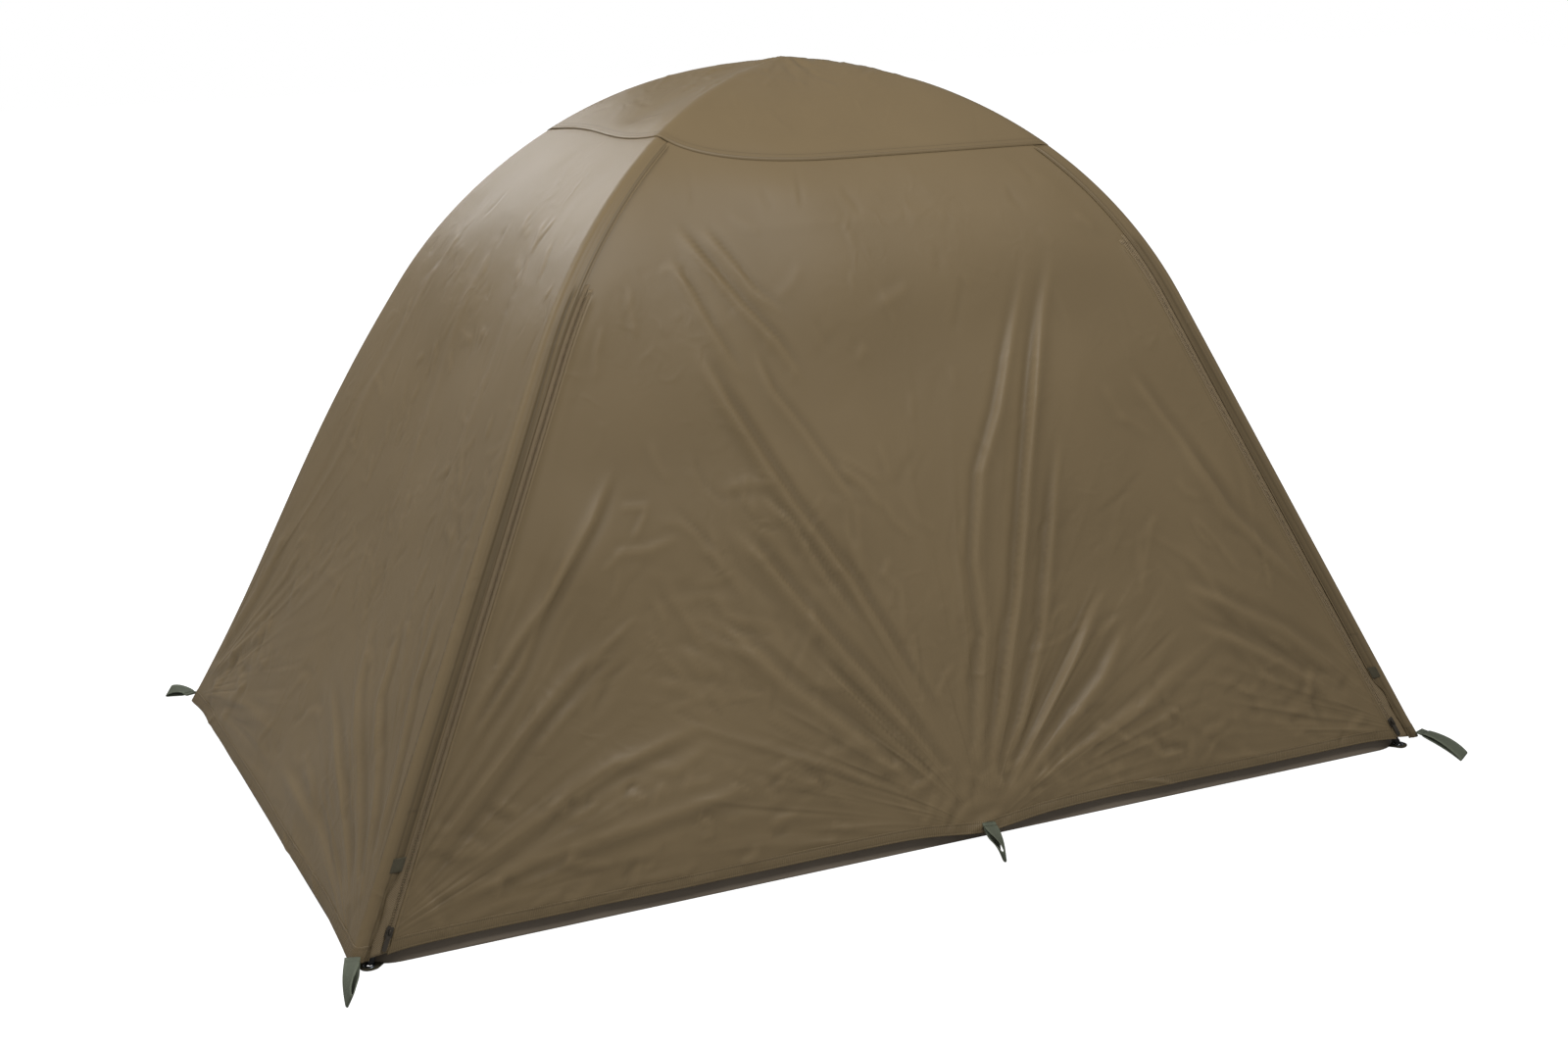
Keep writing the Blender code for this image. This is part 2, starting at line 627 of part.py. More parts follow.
def sleeve(name, side_x, side_y, inset):
    """A strip sewn inside a ridge on both its sides, which holds the pole up to it."""
    inward = Vector((-side_x * WIDTH / 2, -side_y * DEPTH / 2, 0)).normalized()
    lateral = Vector((-inward.y, inward.x, 0))
    stations = []
    for step in range(LEG_STEPS + 1):
        up_leg = SLEEVE_FOOT + (LEG_LENGTH - SLEEVE_FOOT) * step / LEG_STEPS
        depth = max(pole_depth(inset, up_leg), inset)
        stations.append((up_leg * sin(LEG_TILT), LEG_TILT, depth))
    for step in range(1, ARC_STEPS):
        angle = LEG_TILT * (1 - step / ARC_STEPS)
        if ROOF_RADIUS * sin(angle) < SLEEVE_END:
            break
        stations.append((ARC_CENTRE + ROOF_RADIUS * cos(angle), angle, inset))
    long_turn = FRONT if side_y < 0 else BACK
    short_turn = LEFT if side_x < 0 else RIGHT
    diagonal = [(side_x, side_y)]
    rows = []
    for rise, angle, depth in stations:
        place = inward * (ridge_run(rise) - REACH)
        place.z = FOOT_RISE + rise
        deep = inward * sin(angle) - Vector((0, 0, cos(angle)))
        drop = LEG_DROP if rise < LEG_TOP else ROOF_DROP
        edges = []
        for turn in (long_turn, short_turn):
            edge = -1 if turned(-1, 1, turn) in diagonal else 1
            edges.append(fly_point(turn, edge, SLEEVE_SPREAD, rise, -drop))
        middle = (edges[0] + edges[1]) / 2
        reach_in = max(depth + POLE_RADIUS + SLEEVE_PLAY, (middle - place).dot(deep))
        sides = sorted(edges, key=lambda point: (point - place).dot(lateral))
        spread = POLE_RADIUS + SLEEVE_PLAY
        rows.append([sides[0], place + deep * reach_in - lateral * spread,
                     place + deep * reach_in + lateral * spread, sides[1]])
    if (rows[0][3] - rows[0][0]).cross(rows[1][0] - rows[0][0]).dot(deep) < 0:
        rows = [list(reversed(row)) for row in rows]
    made = finish(name, grid_mesh(name, rows), FLY_CLOTH)
    return thicken(made, SLEEVE_CLOTH, 1)


TIE_WIDTH = 0.025
TIE_SPREAD = 0.018


def crossing_tie():
    """A webbing bridge sewn to the roof cap, which carries the two poles' crossing."""
    under = FOOT_RISE + APEX_RISE - LOWER_INSET - POLE_RADIUS - SLEEVE_PLAY
    across = 2 * TIE_SPREAD * REACH / (DEPTH / 2)
    sewn = FOOT_RISE + ARC_CENTRE + sqrt(ROOF_RADIUS ** 2 - across ** 2) - ROOF_DROP
    rows = []
    for end in (-1, 1):
        x = end * TIE_WIDTH / 2
        rows.append([Vector((x, 2 * TIE_SPREAD, sewn)), Vector((x, TIE_SPREAD, under)),
                     Vector((x, -TIE_SPREAD, under)), Vector((x, -2 * TIE_SPREAD, sewn))])
    made = finish("crossing_tie", grid_mesh("crossing_tie", rows), WEBBING)
    return thicken(made, SLEEVE_CLOTH, -1)


# Pole feet

CAP_PIN_RADIUS = 0.0025
CAP_PIN_LENGTH = 0.0056
CAP_SHOULDER_RADIUS = 0.0065
CAP_SHOULDER_HEIGHT = 0.003
CAP_RADIUS = 0.006
CAP_FLOOR = 0.006
CAP_SOCKET_DEPTH = 0.018
TURN_STEPS = 16


def turned_solid(name, profile, matrix, surface):
    """A closed profile turned about Z. The profile is radii and heights, top to bottom
    down the outer side."""
    mesh = bpy.data.meshes.new(name)
    count = len(profile)
    mesh.from_pydata([(radius, 0, height) for radius, height in profile],
                     [(corner, (corner + 1) % count) for corner in range(count)], [])
    made = finish(name, mesh, surface, matrix)
    turn = made.modifiers.new("turn", "SCREW")
    turn.steps = TURN_STEPS
    turn.render_steps = TURN_STEPS
    turn.use_merge_vertices = True
    turn.merge_threshold = GAP / 30
    return made


def pole_foot(name, side_x, side_y, inset):
    """A plastic tip: a socket for the tube, and a pin for the eyelet."""
    path, tilt = pole_path(inset)
    inward = Vector((-side_x * WIDTH / 2, -side_y * DEPTH / 2, 0)).normalized()
    up = inward * cos(tilt) + Vector((0, 0, sin(tilt)))
    place = -inward * (REACH - POLE_FOOT_INSET) + Vector((0, 0, POLE_TIP_RISE))
    matrix = Matrix.Translation(place) @ up.to_track_quat("Z", "Y").to_matrix().to_4x4()
    socket = (POLE_RADIUS + GAP) / cos(pi / TURN_STEPS)
    floor = CAP_PIN_LENGTH + CAP_FLOOR
    top = floor + CAP_SOCKET_DEPTH
    shoulder = CAP_PIN_LENGTH + CAP_SHOULDER_HEIGHT
    profile = [(socket, top), (CAP_RADIUS, top), (CAP_RADIUS, shoulder),
               (CAP_SHOULDER_RADIUS, shoulder), (CAP_SHOULDER_RADIUS, CAP_PIN_LENGTH),
               (CAP_PIN_RADIUS, CAP_PIN_LENGTH), (CAP_PIN_RADIUS, 0), (0, 0), (0, floor),
               (socket, floor)]
    return turned_solid(name, profile, matrix, CAP_PLASTIC)


# Groundsheet and the tabs at its corners

TUB_CLOTH_THICKNESS = 0.002
TUB_HEIGHT = 0.070
TUB_MARGIN = 0.012              # between the fly's hem line and the tub's foot
TUB_CORNER_RADIUS = 0.070
TUB_CORNER_STEPS = 8
EYELET_RIM = 0.0045
EYELET_FLANGE = 0.0008
EYELET_PLAY = 0.0005
TAB_PLATE = 0.0014
TAB_MARGIN = 0.007              # of webbing around the eyelet
TAB_ANGLE = radians(16)         # of the tub's corner that the tab is sewn to, each way


def tub_outline(height):
    """The tub's outer outline at a height above the ground, as plan points."""
    lean = LEG_GRADE * height
    half_x = WIDTH / 2 - TUB_MARGIN - WIDTH / 2 * lean
    half_y = DEPTH / 2 - TUB_MARGIN - DEPTH / 2 * lean
    points = []
    for turn, (side_x, side_y) in enumerate(((1, -1), (1, 1), (-1, 1), (-1, -1))):
        centre = (side_x * (half_x - TUB_CORNER_RADIUS), side_y * (half_y - TUB_CORNER_RADIUS))
        start = (turn - 1) * pi / 2
        points += arc(centre, TUB_CORNER_RADIUS, start, start + pi / 2, TUB_CORNER_STEPS)
    return points


def groundsheet():
    """An open tub: a flat floor with low walls that lean with the fly."""
    shape = bmesh.new()
    foot = [shape.verts.new((x, y, 0)) for x, y in tub_outline(0)]
    lip = [shape.verts.new((x, y, TUB_HEIGHT)) for x, y in tub_outline(TUB_HEIGHT)]
    shape.faces.new(list(reversed(foot)))
    count = len(foot)
    for corner in range(count):
        beside = (corner + 1) % count
        shape.faces.new((foot[corner], foot[beside], lip[beside], lip[corner]))
    mesh = bpy.data.meshes.new("groundsheet")
    shape.to_mesh(mesh)
    shape.free()
    made = finish("groundsheet", mesh, TUB_CLOTH)
    return thicken(made, TUB_CLOTH_THICKNESS, -1)


def eyelet_hole():
    tilt = pole_path(UPPER_INSET)[1]
    height = 2 * EYELET_FLANGE + TAB_PLATE + 2 * GAP
    drift = height / tan(tilt)
    return (CAP_PIN_RADIUS / sin(tilt) + drift + EYELET_PLAY) / cos(pi / TURN_STEPS)


def eyelet_place(side_x, side_y):
    share = 1 - POLE_FOOT_INSET / REACH
    return side_x * WIDTH / 2 * share, side_y * DEPTH / 2 * share


def corner_eyelet(name, side_x, side_y):
    """A metal eyelet whose two flanges grip the tab."""
    hole = eyelet_hole()
    barrel = hole + EYELET_FLANGE
    rim = hole + EYELET_RIM
    low = EYELET_FLANGE
    high = low + TAB_PLATE + 2 * GAP
    top = high + EYELET_FLANGE
    profile = [(hole, top), (rim, top), (rim, high), (barrel, high), (barrel, low), (rim, low),
               (rim, 0), (hole, 0)]
    place = Matrix.Translation((*eyelet_place(side_x, side_y), 0))
    return turned_solid(name, profile, place, STEEL)


def corner_tab(name, side_x, side_y):
    """A webbing tab that runs from the tub's rounded corner to the eyelet."""
    eye_x, eye_y = eyelet_place(side_x, side_y)
    centre_x = side_x * (WIDTH / 2 - TUB_MARGIN - TUB_CORNER_RADIUS)
    centre_y = side_y * (DEPTH / 2 - TUB_MARGIN - TUB_CORNER_RADIUS)
    heading = atan2(eye_y - centre_y, eye_x - centre_x)
    distance = hypot(eye_x - centre_x, eye_y - centre_y)
    hole = (eyelet_hole() + EYELET_FLANGE + GAP) / cos(pi / TURN_STEPS)
    end = eyelet_hole() + EYELET_RIM + TAB_MARGIN
    sewn = arc((-distance, 0), TUB_CORNER_RADIUS + GAP, TAB_ANGLE, -TAB_ANGLE, 4)
    outer = [*sewn, *arc((0, 0), end, -pi / 2, pi / 2, 12)]
    inner = arc((0, 0), hole, 0, 2 * pi, TURN_STEPS)[:-1]
    height = EYELET_FLANGE + GAP + TAB_PLATE / 2
    matrix = Matrix.Translation((eye_x, eye_y, height)) @ Matrix.Rotation(heading, 4, "Z")
    return curve_to_mesh(name, outline_curve(name, [outer, inner], TAB_PLATE), matrix, WEBBING)


# Peg loops of webbing

LOOP_WIDTH = 0.025
LOOP_LENGTH = 0.105
LOOP_WEB = 0.0015
LOOP_ROOT = 0.014               # where the two layers are sewn together
LOOP_EYE = 0.007                # half the height that the eye opens to
LOOP_STEPS = 9
LOOP_GROUND = 0.0003
FRONT_LOOP_SHIFT = 0.092        # of the front loop from mid hem, towards the right


def loop_outline(lift=0.0):
    """Side view of a loop: how far from its root, and how far off its middle line."""
    eye_length = LOOP_LENGTH - LOOP_ROOT - LOOP_WEB
    upper = []
    for step in range(LOOP_STEPS + 1):
        turn = pi * step / LOOP_STEPS
        along = LOOP_ROOT + eye_length * (1 - cos(turn)) / 2
        upper.append((along, LOOP_EYE * sin(turn)))
    inner = upper + [(along, -open_) for along, open_ in reversed(upper[1:-1])]
    over = [(along, open_ + LOOP_WEB) for along, open_ in upper[:-1]]
    tip = [(LOOP_LENGTH, LOOP_WEB / 2), (LOOP_LENGTH, -LOOP_WEB / 2)]
    below = [(along, -high) for along, high in reversed(over)]
    outer = [(0, -LOOP_WEB), (0, LOOP_WEB), *over, *tip, *below]
    return list(reversed(outer)), inner


def loop_pitch(root_height):
    """The slope at which a loop's far end just reaches the ground."""
    outer = loop_outline()[0]
    steep, level = pi / 3, -pi / 3
    for _ in range(40):
        pitch = (steep + level) / 2
        lowest = min(root_height - along * sin(pitch) + off * cos(pitch) for along, off in outer)
        if lowest > LOOP_GROUND:
            level = pitch
        else:
            steep = pitch
    return level


def loop_space(root_height, grade):
    """How far a pitched loop's middle stands off a hem that leans by the grade."""
    pitch = loop_pitch(root_height)
    return GAP + LOOP_WEB * (sin(pitch) + grade * cos(pitch))


def peg_loop(name, root, heading):
    """A loop of webbing sewn on at its root, which lies out over the ground."""
    pitch = loop_pitch(root.z)
    outer, inner = loop_outline()
    matrix = Matrix.Translation(root) @ Matrix.Rotation(heading, 4, "Z")
    matrix = matrix @ Matrix.Rotation(pitch, 4, "Y") @ Matrix.Rotation(pi / 2, 4, "X")
    return curve_to_mesh(name, outline_curve(name, [outer, inner], LOOP_WIDTH), matrix, WEBBING)


CORNER_LOOPS = {
    # name: side in X, side in Y, heading
    "front_left_peg_loop": (-1, -1, radians(252)),
    "front_right_peg_loop": (1, -1, radians(-72)),
    "back_right_peg_loop": (1, 1, radians(72)),
    "back_left_peg_loop": (-1, 1, radians(108)),
}


def peg_loops():
    for name, (side_x, side_y, heading) in CORNER_LOOPS.items():
        turn = FRONT if side_y < 0 else BACK
        edge = side_x if side_y < 0 else -side_x
        corner = fly_point(turn, edge, 0, LOOP_WEB, GAP + HEM_CLOTH)
        out = Vector((cos(heading), sin(heading), 0))
        peg_loop(name, corner + out * loop_space(corner.z, ridge_grade(0)), heading)
    for name, turn, heading, beside in (("front_peg_loop", FRONT, -pi / 2, FRONT_LOOP_SHIFT),
                                        ("back_peg_loop", BACK, pi / 2, 0)):
        hem = fly_point(turn, 1, face_halves(turn)[0], LOOP_WEB, GAP + HEM_CLOTH)
        space = loop_space(hem.z, DEPTH / 2 * LEG_GRADE)
        peg_loop(name, Vector((beside, hem.y + sin(heading) * space, hem.z)), heading)


# Putting the tent together

CORNERS = {
    "front_left": (-1, -1, UPPER_INSET),
    "front_right": (1, -1, LOWER_INSET),
    "back_right": (1, 1, UPPER_INSET),
    "back_left": (-1, 1, LOWER_INSET),
}


def build():
    roof_cap()
    side_panel("left_panel", LEFT)
    side_panel("right_panel", RIGHT)
    side_hem("left_hem", LEFT)
    side_hem("right_hem", RIGHT)
    back_panel()
    front_header()
    door()
    for side_name, edge in (("left", -1), ("right", 1)):
        zips(side_name, edge)
        zip_slider(side_name, edge)
        zip_pull(side_name, edge)
    pole("upper_pole", UPPER_INSET, 1)
    pole("lower_pole", LOWER_INSET, -1)
    for name, (side_x, side_y, inset) in CORNERS.items():
        sleeve(f"{name}_sleeve", side_x, side_y, inset)
        pole_foot(f"{name}_pole_foot", side_x, side_y, inset)
        corner_eyelet(f"{name}_eyelet", side_x, side_y)
        corner_tab(f"{name}_tab", side_x, side_y)
    crossing_tie()
    groundsheet()
    peg_loops()


build()
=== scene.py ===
"""Looks of a pitched one-person dome bivvy tent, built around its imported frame."""

from math import asin, atan2, cos, hypot, pi, radians, sin, sqrt, tan

import bmesh
import bpy
import numpy as np
from mathutils import Matrix, Vector


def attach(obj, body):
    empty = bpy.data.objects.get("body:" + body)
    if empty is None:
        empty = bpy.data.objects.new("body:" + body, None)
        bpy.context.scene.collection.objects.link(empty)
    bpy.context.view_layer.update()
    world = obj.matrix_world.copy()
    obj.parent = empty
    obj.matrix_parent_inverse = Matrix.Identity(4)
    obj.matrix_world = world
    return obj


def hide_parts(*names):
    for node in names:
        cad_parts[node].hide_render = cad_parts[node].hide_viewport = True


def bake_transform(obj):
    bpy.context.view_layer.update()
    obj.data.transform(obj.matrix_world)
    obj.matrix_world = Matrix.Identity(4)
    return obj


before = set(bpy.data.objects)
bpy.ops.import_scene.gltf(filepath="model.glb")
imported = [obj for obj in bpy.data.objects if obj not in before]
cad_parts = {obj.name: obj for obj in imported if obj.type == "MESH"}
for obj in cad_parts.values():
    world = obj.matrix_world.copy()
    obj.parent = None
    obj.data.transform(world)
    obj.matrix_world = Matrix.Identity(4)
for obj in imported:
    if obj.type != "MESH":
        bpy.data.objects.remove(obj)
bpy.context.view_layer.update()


# The studio. A white sweep that keeps a faint shadow, a large soft lamp high on the left,
# weaker ones in front and behind, and the camera where the photographer stood.

CAMERA_PLACE = Vector((-1.8124, -3.8349, 1.7334))
CAMERA_YAW = radians(25.17)
CAMERA_PITCH = radians(17.02)
CAMERA_ROLL = radians(-0.375)
CAMERA_LENS = 51.62
SENSOR_WIDTH = 36.0
HALF_FLOOR = 12.0
FLOOR_GREY = 0.42
FLOOR_GLOW = 0.97
SWEEP_LIGHT = 0.32
WHITE = (1.0, 1.0, 1.0, 1.0)
LAMPS = {
    # name: place, aim, size, power
    "high_left_lamp": ((-2.3, 0.1, 3.1), (-0.5, 0.0, 0.7), 1.3, 45),
    "high_front_lamp": ((0.1, -2.15, 2.6), (-0.1, -0.45, 0.65), 0.7, 39),
    "back_lamp": ((-0.9, 2.8, 2.3), (-0.3, 0, 1.0), 1.6, 30),
}


def node(tree, kind, inputs=(), **settings):
    """A node. Each of its inputs is given a value, or another node's output."""
    made = tree.nodes.new(kind)
    for name, value in settings.items():
        setattr(made, name, value)
    feed(tree, made, inputs)
    return made


def feed(tree, made, inputs):
    for name, value in dict(inputs).items():
        if isinstance(value, bpy.types.NodeSocket):
            tree.links.new(value, made.inputs[name])
        else:
            made.inputs[name].default_value = value


def shown(made):
    bpy.context.scene.collection.objects.link(made)
    return made


def new_material(name):
    made = bpy.data.materials.new(name)
    made.use_nodes = True
    return made, made.node_tree


def floor_finish():
    """A matt floor that the camera sees nearly white, with its shadows kept."""
    made, tree = new_material("floor_white")
    tree.nodes.remove(tree.nodes["Principled BSDF"])
    matt = node(tree, "ShaderNodeBsdfDiffuse", {"Color": (FLOOR_GREY, FLOOR_GREY, FLOOR_GREY, 1)})
    light = node(tree, "ShaderNodeEmission", {"Strength": FLOOR_GLOW})
    both = node(tree, "ShaderNodeAddShader", {0: matt.outputs[0], 1: light.outputs[0]})
    rays = node(tree, "ShaderNodeLightPath")
    pick = node(tree, "ShaderNodeMixShader", {0: rays.outputs["Is Camera Ray"],
                                              1: matt.outputs[0], 2: both.outputs[0]})
    feed(tree, tree.nodes["Material Output"], {"Surface": pick.outputs[0]})
    return made


def photographer():
    turn = Matrix.Rotation(-CAMERA_YAW, 4, "Z")
    turn = turn @ Matrix.Rotation(pi / 2 - CAMERA_PITCH, 4, "X")
    turn = turn @ Matrix.Rotation(CAMERA_ROLL, 4, "Z")
    lens = bpy.data.cameras.new("camera")
    lens.lens = CAMERA_LENS
    lens.sensor_width = SENSOR_WIDTH
    made = shown(bpy.data.objects.new("camera", lens))
    made.matrix_world = Matrix.Translation(CAMERA_PLACE) @ turn
    bpy.context.scene.camera = made


def studio():
    scene = bpy.context.scene
    scene.view_settings.view_transform = "Standard"
    scene.world = bpy.data.worlds.new("sweep")
    scene.world.use_nodes = True
    tree = scene.world.node_tree
    rays = node(tree, "ShaderNodeLightPath")
    seen = node(tree, "ShaderNodeMath", {0: rays.outputs["Is Camera Ray"],
                                         1: rays.outputs["Is Transmission Ray"]},
                operation="MAXIMUM")
    level = node(tree, "ShaderNodeMapRange", {"To Min": SWEEP_LIGHT, "To Max": 1.0,
                                              "Value": seen.outputs[0]})
    feed(tree, tree.nodes["Background"], {"Color": WHITE, "Strength": level.outputs[0]})
    mesh = bpy.data.meshes.new("floor")
    mesh.from_pydata([(x * HALF_FLOOR, y * HALF_FLOOR, 0)
                      for x, y in ((-1, -1), (1, -1), (1, 1), (-1, 1))], [], [(0, 1, 2, 3)])
    mesh.materials.append(floor_finish())
    shown(bpy.data.objects.new("floor", mesh))
    for name, (place, aim, size, power) in LAMPS.items():
        lamp = bpy.data.lights.new(name, "AREA")
        lamp.shape = "DISK"
        lamp.size = size
        lamp.energy = power
        made = shown(bpy.data.objects.new(name, lamp))
        made.location = place
        made.rotation_mode = "QUATERNION"
        made.rotation_quaternion = (Vector(aim) - Vector(place)).to_track_quat("-Z", "Y")


photographer()
studio()


# The pitched shape. Two poles cross under the roof: each half of a ridge is a straight leg
# that bends into a round arc, and each side is stretched level between two ridges.

WIDTH = 2.14
DEPTH = 1.27
LEG_TILT = radians(60.2)
LEG_LENGTH = 1.0
FOOT_RISE = 0.030
ROOF_CAP_DROP = 0.166
FOLD_DROP = 0.0228
STRIP_WIDTH = 0.040

REACH = hypot(WIDTH, DEPTH) / 2
ROOF_RADIUS = (REACH - LEG_LENGTH * cos(LEG_TILT)) / sin(LEG_TILT)
LEG_TOP = LEG_LENGTH * sin(LEG_TILT)
ARC_CENTRE = LEG_TOP - ROOF_RADIUS * cos(LEG_TILT)
APEX_RISE = ARC_CENTRE + ROOF_RADIUS
ROOF_SEAM_RISE = APEX_RISE - ROOF_CAP_DROP
FOLD_RISE = LEG_TOP - FOLD_DROP
FRONT, RIGHT, BACK, LEFT = range(4)
SIDE_NAMES = ("front", "right", "back", "left")
QUARTER_TURNS = ((1, 0), (0, 1), (-1, 0), (0, -1))
GRADE_STEP = 0.0005


def share_left(rise):
    """What is left of the base at a rise, from 1 at the hem to 0 at the top."""
    rise = np.asarray(rise, float)
    leg = rise / tan(LEG_TILT)
    height = np.clip(rise - ARC_CENTRE, 0, ROOF_RADIUS)
    arc = REACH - np.sqrt(np.maximum(ROOF_RADIUS ** 2 - height ** 2, 0))
    return 1 - np.where(rise <= LEG_TOP, leg, arc) / REACH


def face_halves(turn):
    return (WIDTH / 2, DEPTH / 2) if turn in (FRONT, BACK) else (DEPTH / 2, WIDTH / 2)


def half_width(turn, rise):
    return face_halves(turn)[0] * share_left(rise)


def alike(*values):
    """Values brought to arrays of one shape."""
    return np.broadcast_arrays(*[np.asarray(value, float) for value in values])


def flat_side(turn, along, rise):
    """Points and outward directions on one side of the tent, before it creases."""
    along, rise = alike(along, rise)
    half_out = face_halves(turn)[1]
    out = half_out * share_left(rise)
    fall = share_left(rise - GRADE_STEP) - share_left(rise + GRADE_STEP)
    grade = half_out * fall / (2 * GRADE_STEP)
    length = np.hypot(1, grade)
    normal = np.stack([np.zeros_like(out), -1 / length, grade / length], -1)
    point = np.stack([along, -out, FOOT_RISE + rise], -1)
    c, s = QUARTER_TURNS[turn]
    swing = np.array([[c, -s, 0], [s, c, 0], [0, 0, 1]], float)
    return point @ swing.T, normal @ swing.T


def eased(value):
    value = np.clip(value, 0, 1)
    return value * value * (3 - 2 * value)


# Coated polyester of the fly: an olive brown plain weave with a satin coat. It creases
# sharply where it is pulled between the pegs, and stays wrinkled from its bag. The tone
# attribute darkens it where layers lie double and towards the hem, and carries painted
# shade in hollows and grooves and a painted highlight on crests and folded edges.

FLY_COLOUR = (0.186, 0.135, 0.071)
FLY_ROUGHNESS = 0.46
WEAVE_PITCH = 0.0006
CLOTH_THICKNESS = 0.0007
WAVES_PER_SCALE = 2 * pi / 20       # a wave texture's scale times its pitch


def tinted(colour, share):
    return (*[min(c * share, 1) for c in colour], 1)


def cloth_finish(name, colour, roughness, pitch, crumple=1.0, gloss=0.24, rib_pitch=None,
                 rib_height=0.0, rib_slant=0.0, rib_shade=0.0):
    """Woven cloth on a UV map in metres: weave, ribs across its length, crumples, folds
    along the pull attribute and faint changes of tone."""
    made, tree = new_material(name)
    where = node(tree, "ShaderNodeTexCoord")
    flat, solid = where.outputs["UV"], where.outputs["Object"]

    def ridges(place, scale, detail, roughness, distortion, **settings):
        return node(tree, "ShaderNodeTexNoise",
                    {"Vector": place, "Scale": scale, "Detail": detail, "Roughness": roughness,
                     "Distortion": distortion},
                    noise_type="RIDGED_MULTIFRACTAL", **settings).outputs["Fac"]

    def bump(height, strength, distance, below=None):
        values = {"Height": height, "Strength": strength, "Distance": distance}
        if below:
            values["Normal"] = below
        return node(tree, "ShaderNodeBump", values).outputs["Normal"]

    def times(a, b, operation="MULTIPLY"):
        return node(tree, "ShaderNodeMath", {0: a, 1: b}, operation=operation).outputs[0]

    def darkened(base, shade):
        return node(tree, "ShaderNodeMix", {"Factor": 1.0, "A": base, "B": shade},
                    data_type="RGBA", blend_type="MULTIPLY").outputs["Result"]

    blotch = node(tree, "ShaderNodeTexNoise", {"Vector": solid, "Scale": 3.0, "Detail": 6.0})
    base = node(tree, "ShaderNodeMix", {"A": tinted(colour, 0.88), "B": tinted(colour, 1.12),
                                        "Factor": blotch.outputs["Fac"]}, data_type="RGBA")
    # The tone attribute multiplies the colour: it carries painted shade and painted highlight.
    tone = node(tree, "ShaderNodeAttribute", attribute_name="tone")
    paint = darkened(base.outputs["Result"], tone.outputs["Fac"])
    threads = [node(tree, "ShaderNodeTexWave", {"Scale": WAVES_PER_SCALE / pitch, "Vector": flat},
                    bands_direction=axis).outputs["Fac"] for axis in "XY"]
    normal = bump(times(*threads, "ADD"), 0.15, pitch / 6)
    if rib_pitch:
        turn = node(tree, "ShaderNodeMapping", {"Rotation": (0, 0, rib_slant), "Vector": flat})
        ribs = node(tree, "ShaderNodeTexWave",
                    {"Scale": WAVES_PER_SCALE / rib_pitch, "Distortion": 1.2, "Detail": 1.0,
                     "Detail Scale": 0.6, "Vector": turn.outputs["Vector"]}, bands_direction="X")
        normal = bump(ribs.outputs["Fac"], 0.8, rib_height, normal)
        dark = node(tree, "ShaderNodeMapRange", {"To Min": 1 - rib_shade, "To Max": 1.0,
                                                 "Value": ribs.outputs["Fac"]})
        paint = darkened(paint, dark.outputs["Result"])
    normal = bump(ridges(solid, 9.0, 3.0, 0.45, 0.6), 0.75 * crumple, 0.0018, normal)
    patches = node(tree, "ShaderNodeTexNoise", {"Scale": 4.0, "Vector": solid})
    patchy = node(tree, "ShaderNodeMapRange", {"From Min": 0.44, "From Max": 0.60,
                                               "Value": patches.outputs["Fac"]},
                  interpolation_type="SMOOTHSTEP")
    worn = times(ridges(solid, 22.0, 2.0, 0.4, 1.1), patchy.outputs["Result"])
    normal = bump(worn, 0.8 * crumple, 0.0014, normal)
    pull = node(tree, "ShaderNodeAttribute", attribute_name="pull").outputs["Vector"]
    rays = ridges(pull, 1.0, 2.0, 0.5, 0.25, noise_dimensions="2D")
    strength = node(tree, "ShaderNodeSeparateXYZ", {"Vector": pull}).outputs["Z"]
    normal = bump(times(rays, strength), 0.9, 0.0045, normal)
    feed(tree, tree.nodes["Principled BSDF"],
         {"Roughness": roughness, "Specular IOR Level": gloss, "Base Color": paint,
          "Normal": normal})
    return made


FLY = cloth_finish("fly_cloth", FLY_COLOUR, FLY_ROUGHNESS, WEAVE_PITCH)


def waves(along, rise, seed, shortest, longest, height, count=14):
    """Slow hills and hollows in a stretched cloth."""
    dice = np.random.default_rng(seed)
    total = np.zeros_like(along)
    for _ in range(count):
        length = dice.uniform(shortest, longest)
        heading = dice.uniform(0, pi)
        phase = dice.uniform(0, 2 * pi)
        reach = along * cos(heading) + rise * sin(heading)
        total += np.sin(2 * pi * reach / length + phase) * length / longest
    return total * height / sqrt(count)


# A crease's form, in shares of its length and in its own widths.
FADE_IN = 0.22
FADE_OUT = 0.30
CREST_CORE = 0.45
CREST_FALL = 0.60
HOLLOW_OFF = 1.35
CREASE_REACH = 5
BRANCH_LEAN = 0.4               # of a crinkle's hollow to its crest
BRANCH_BEND = 0.15


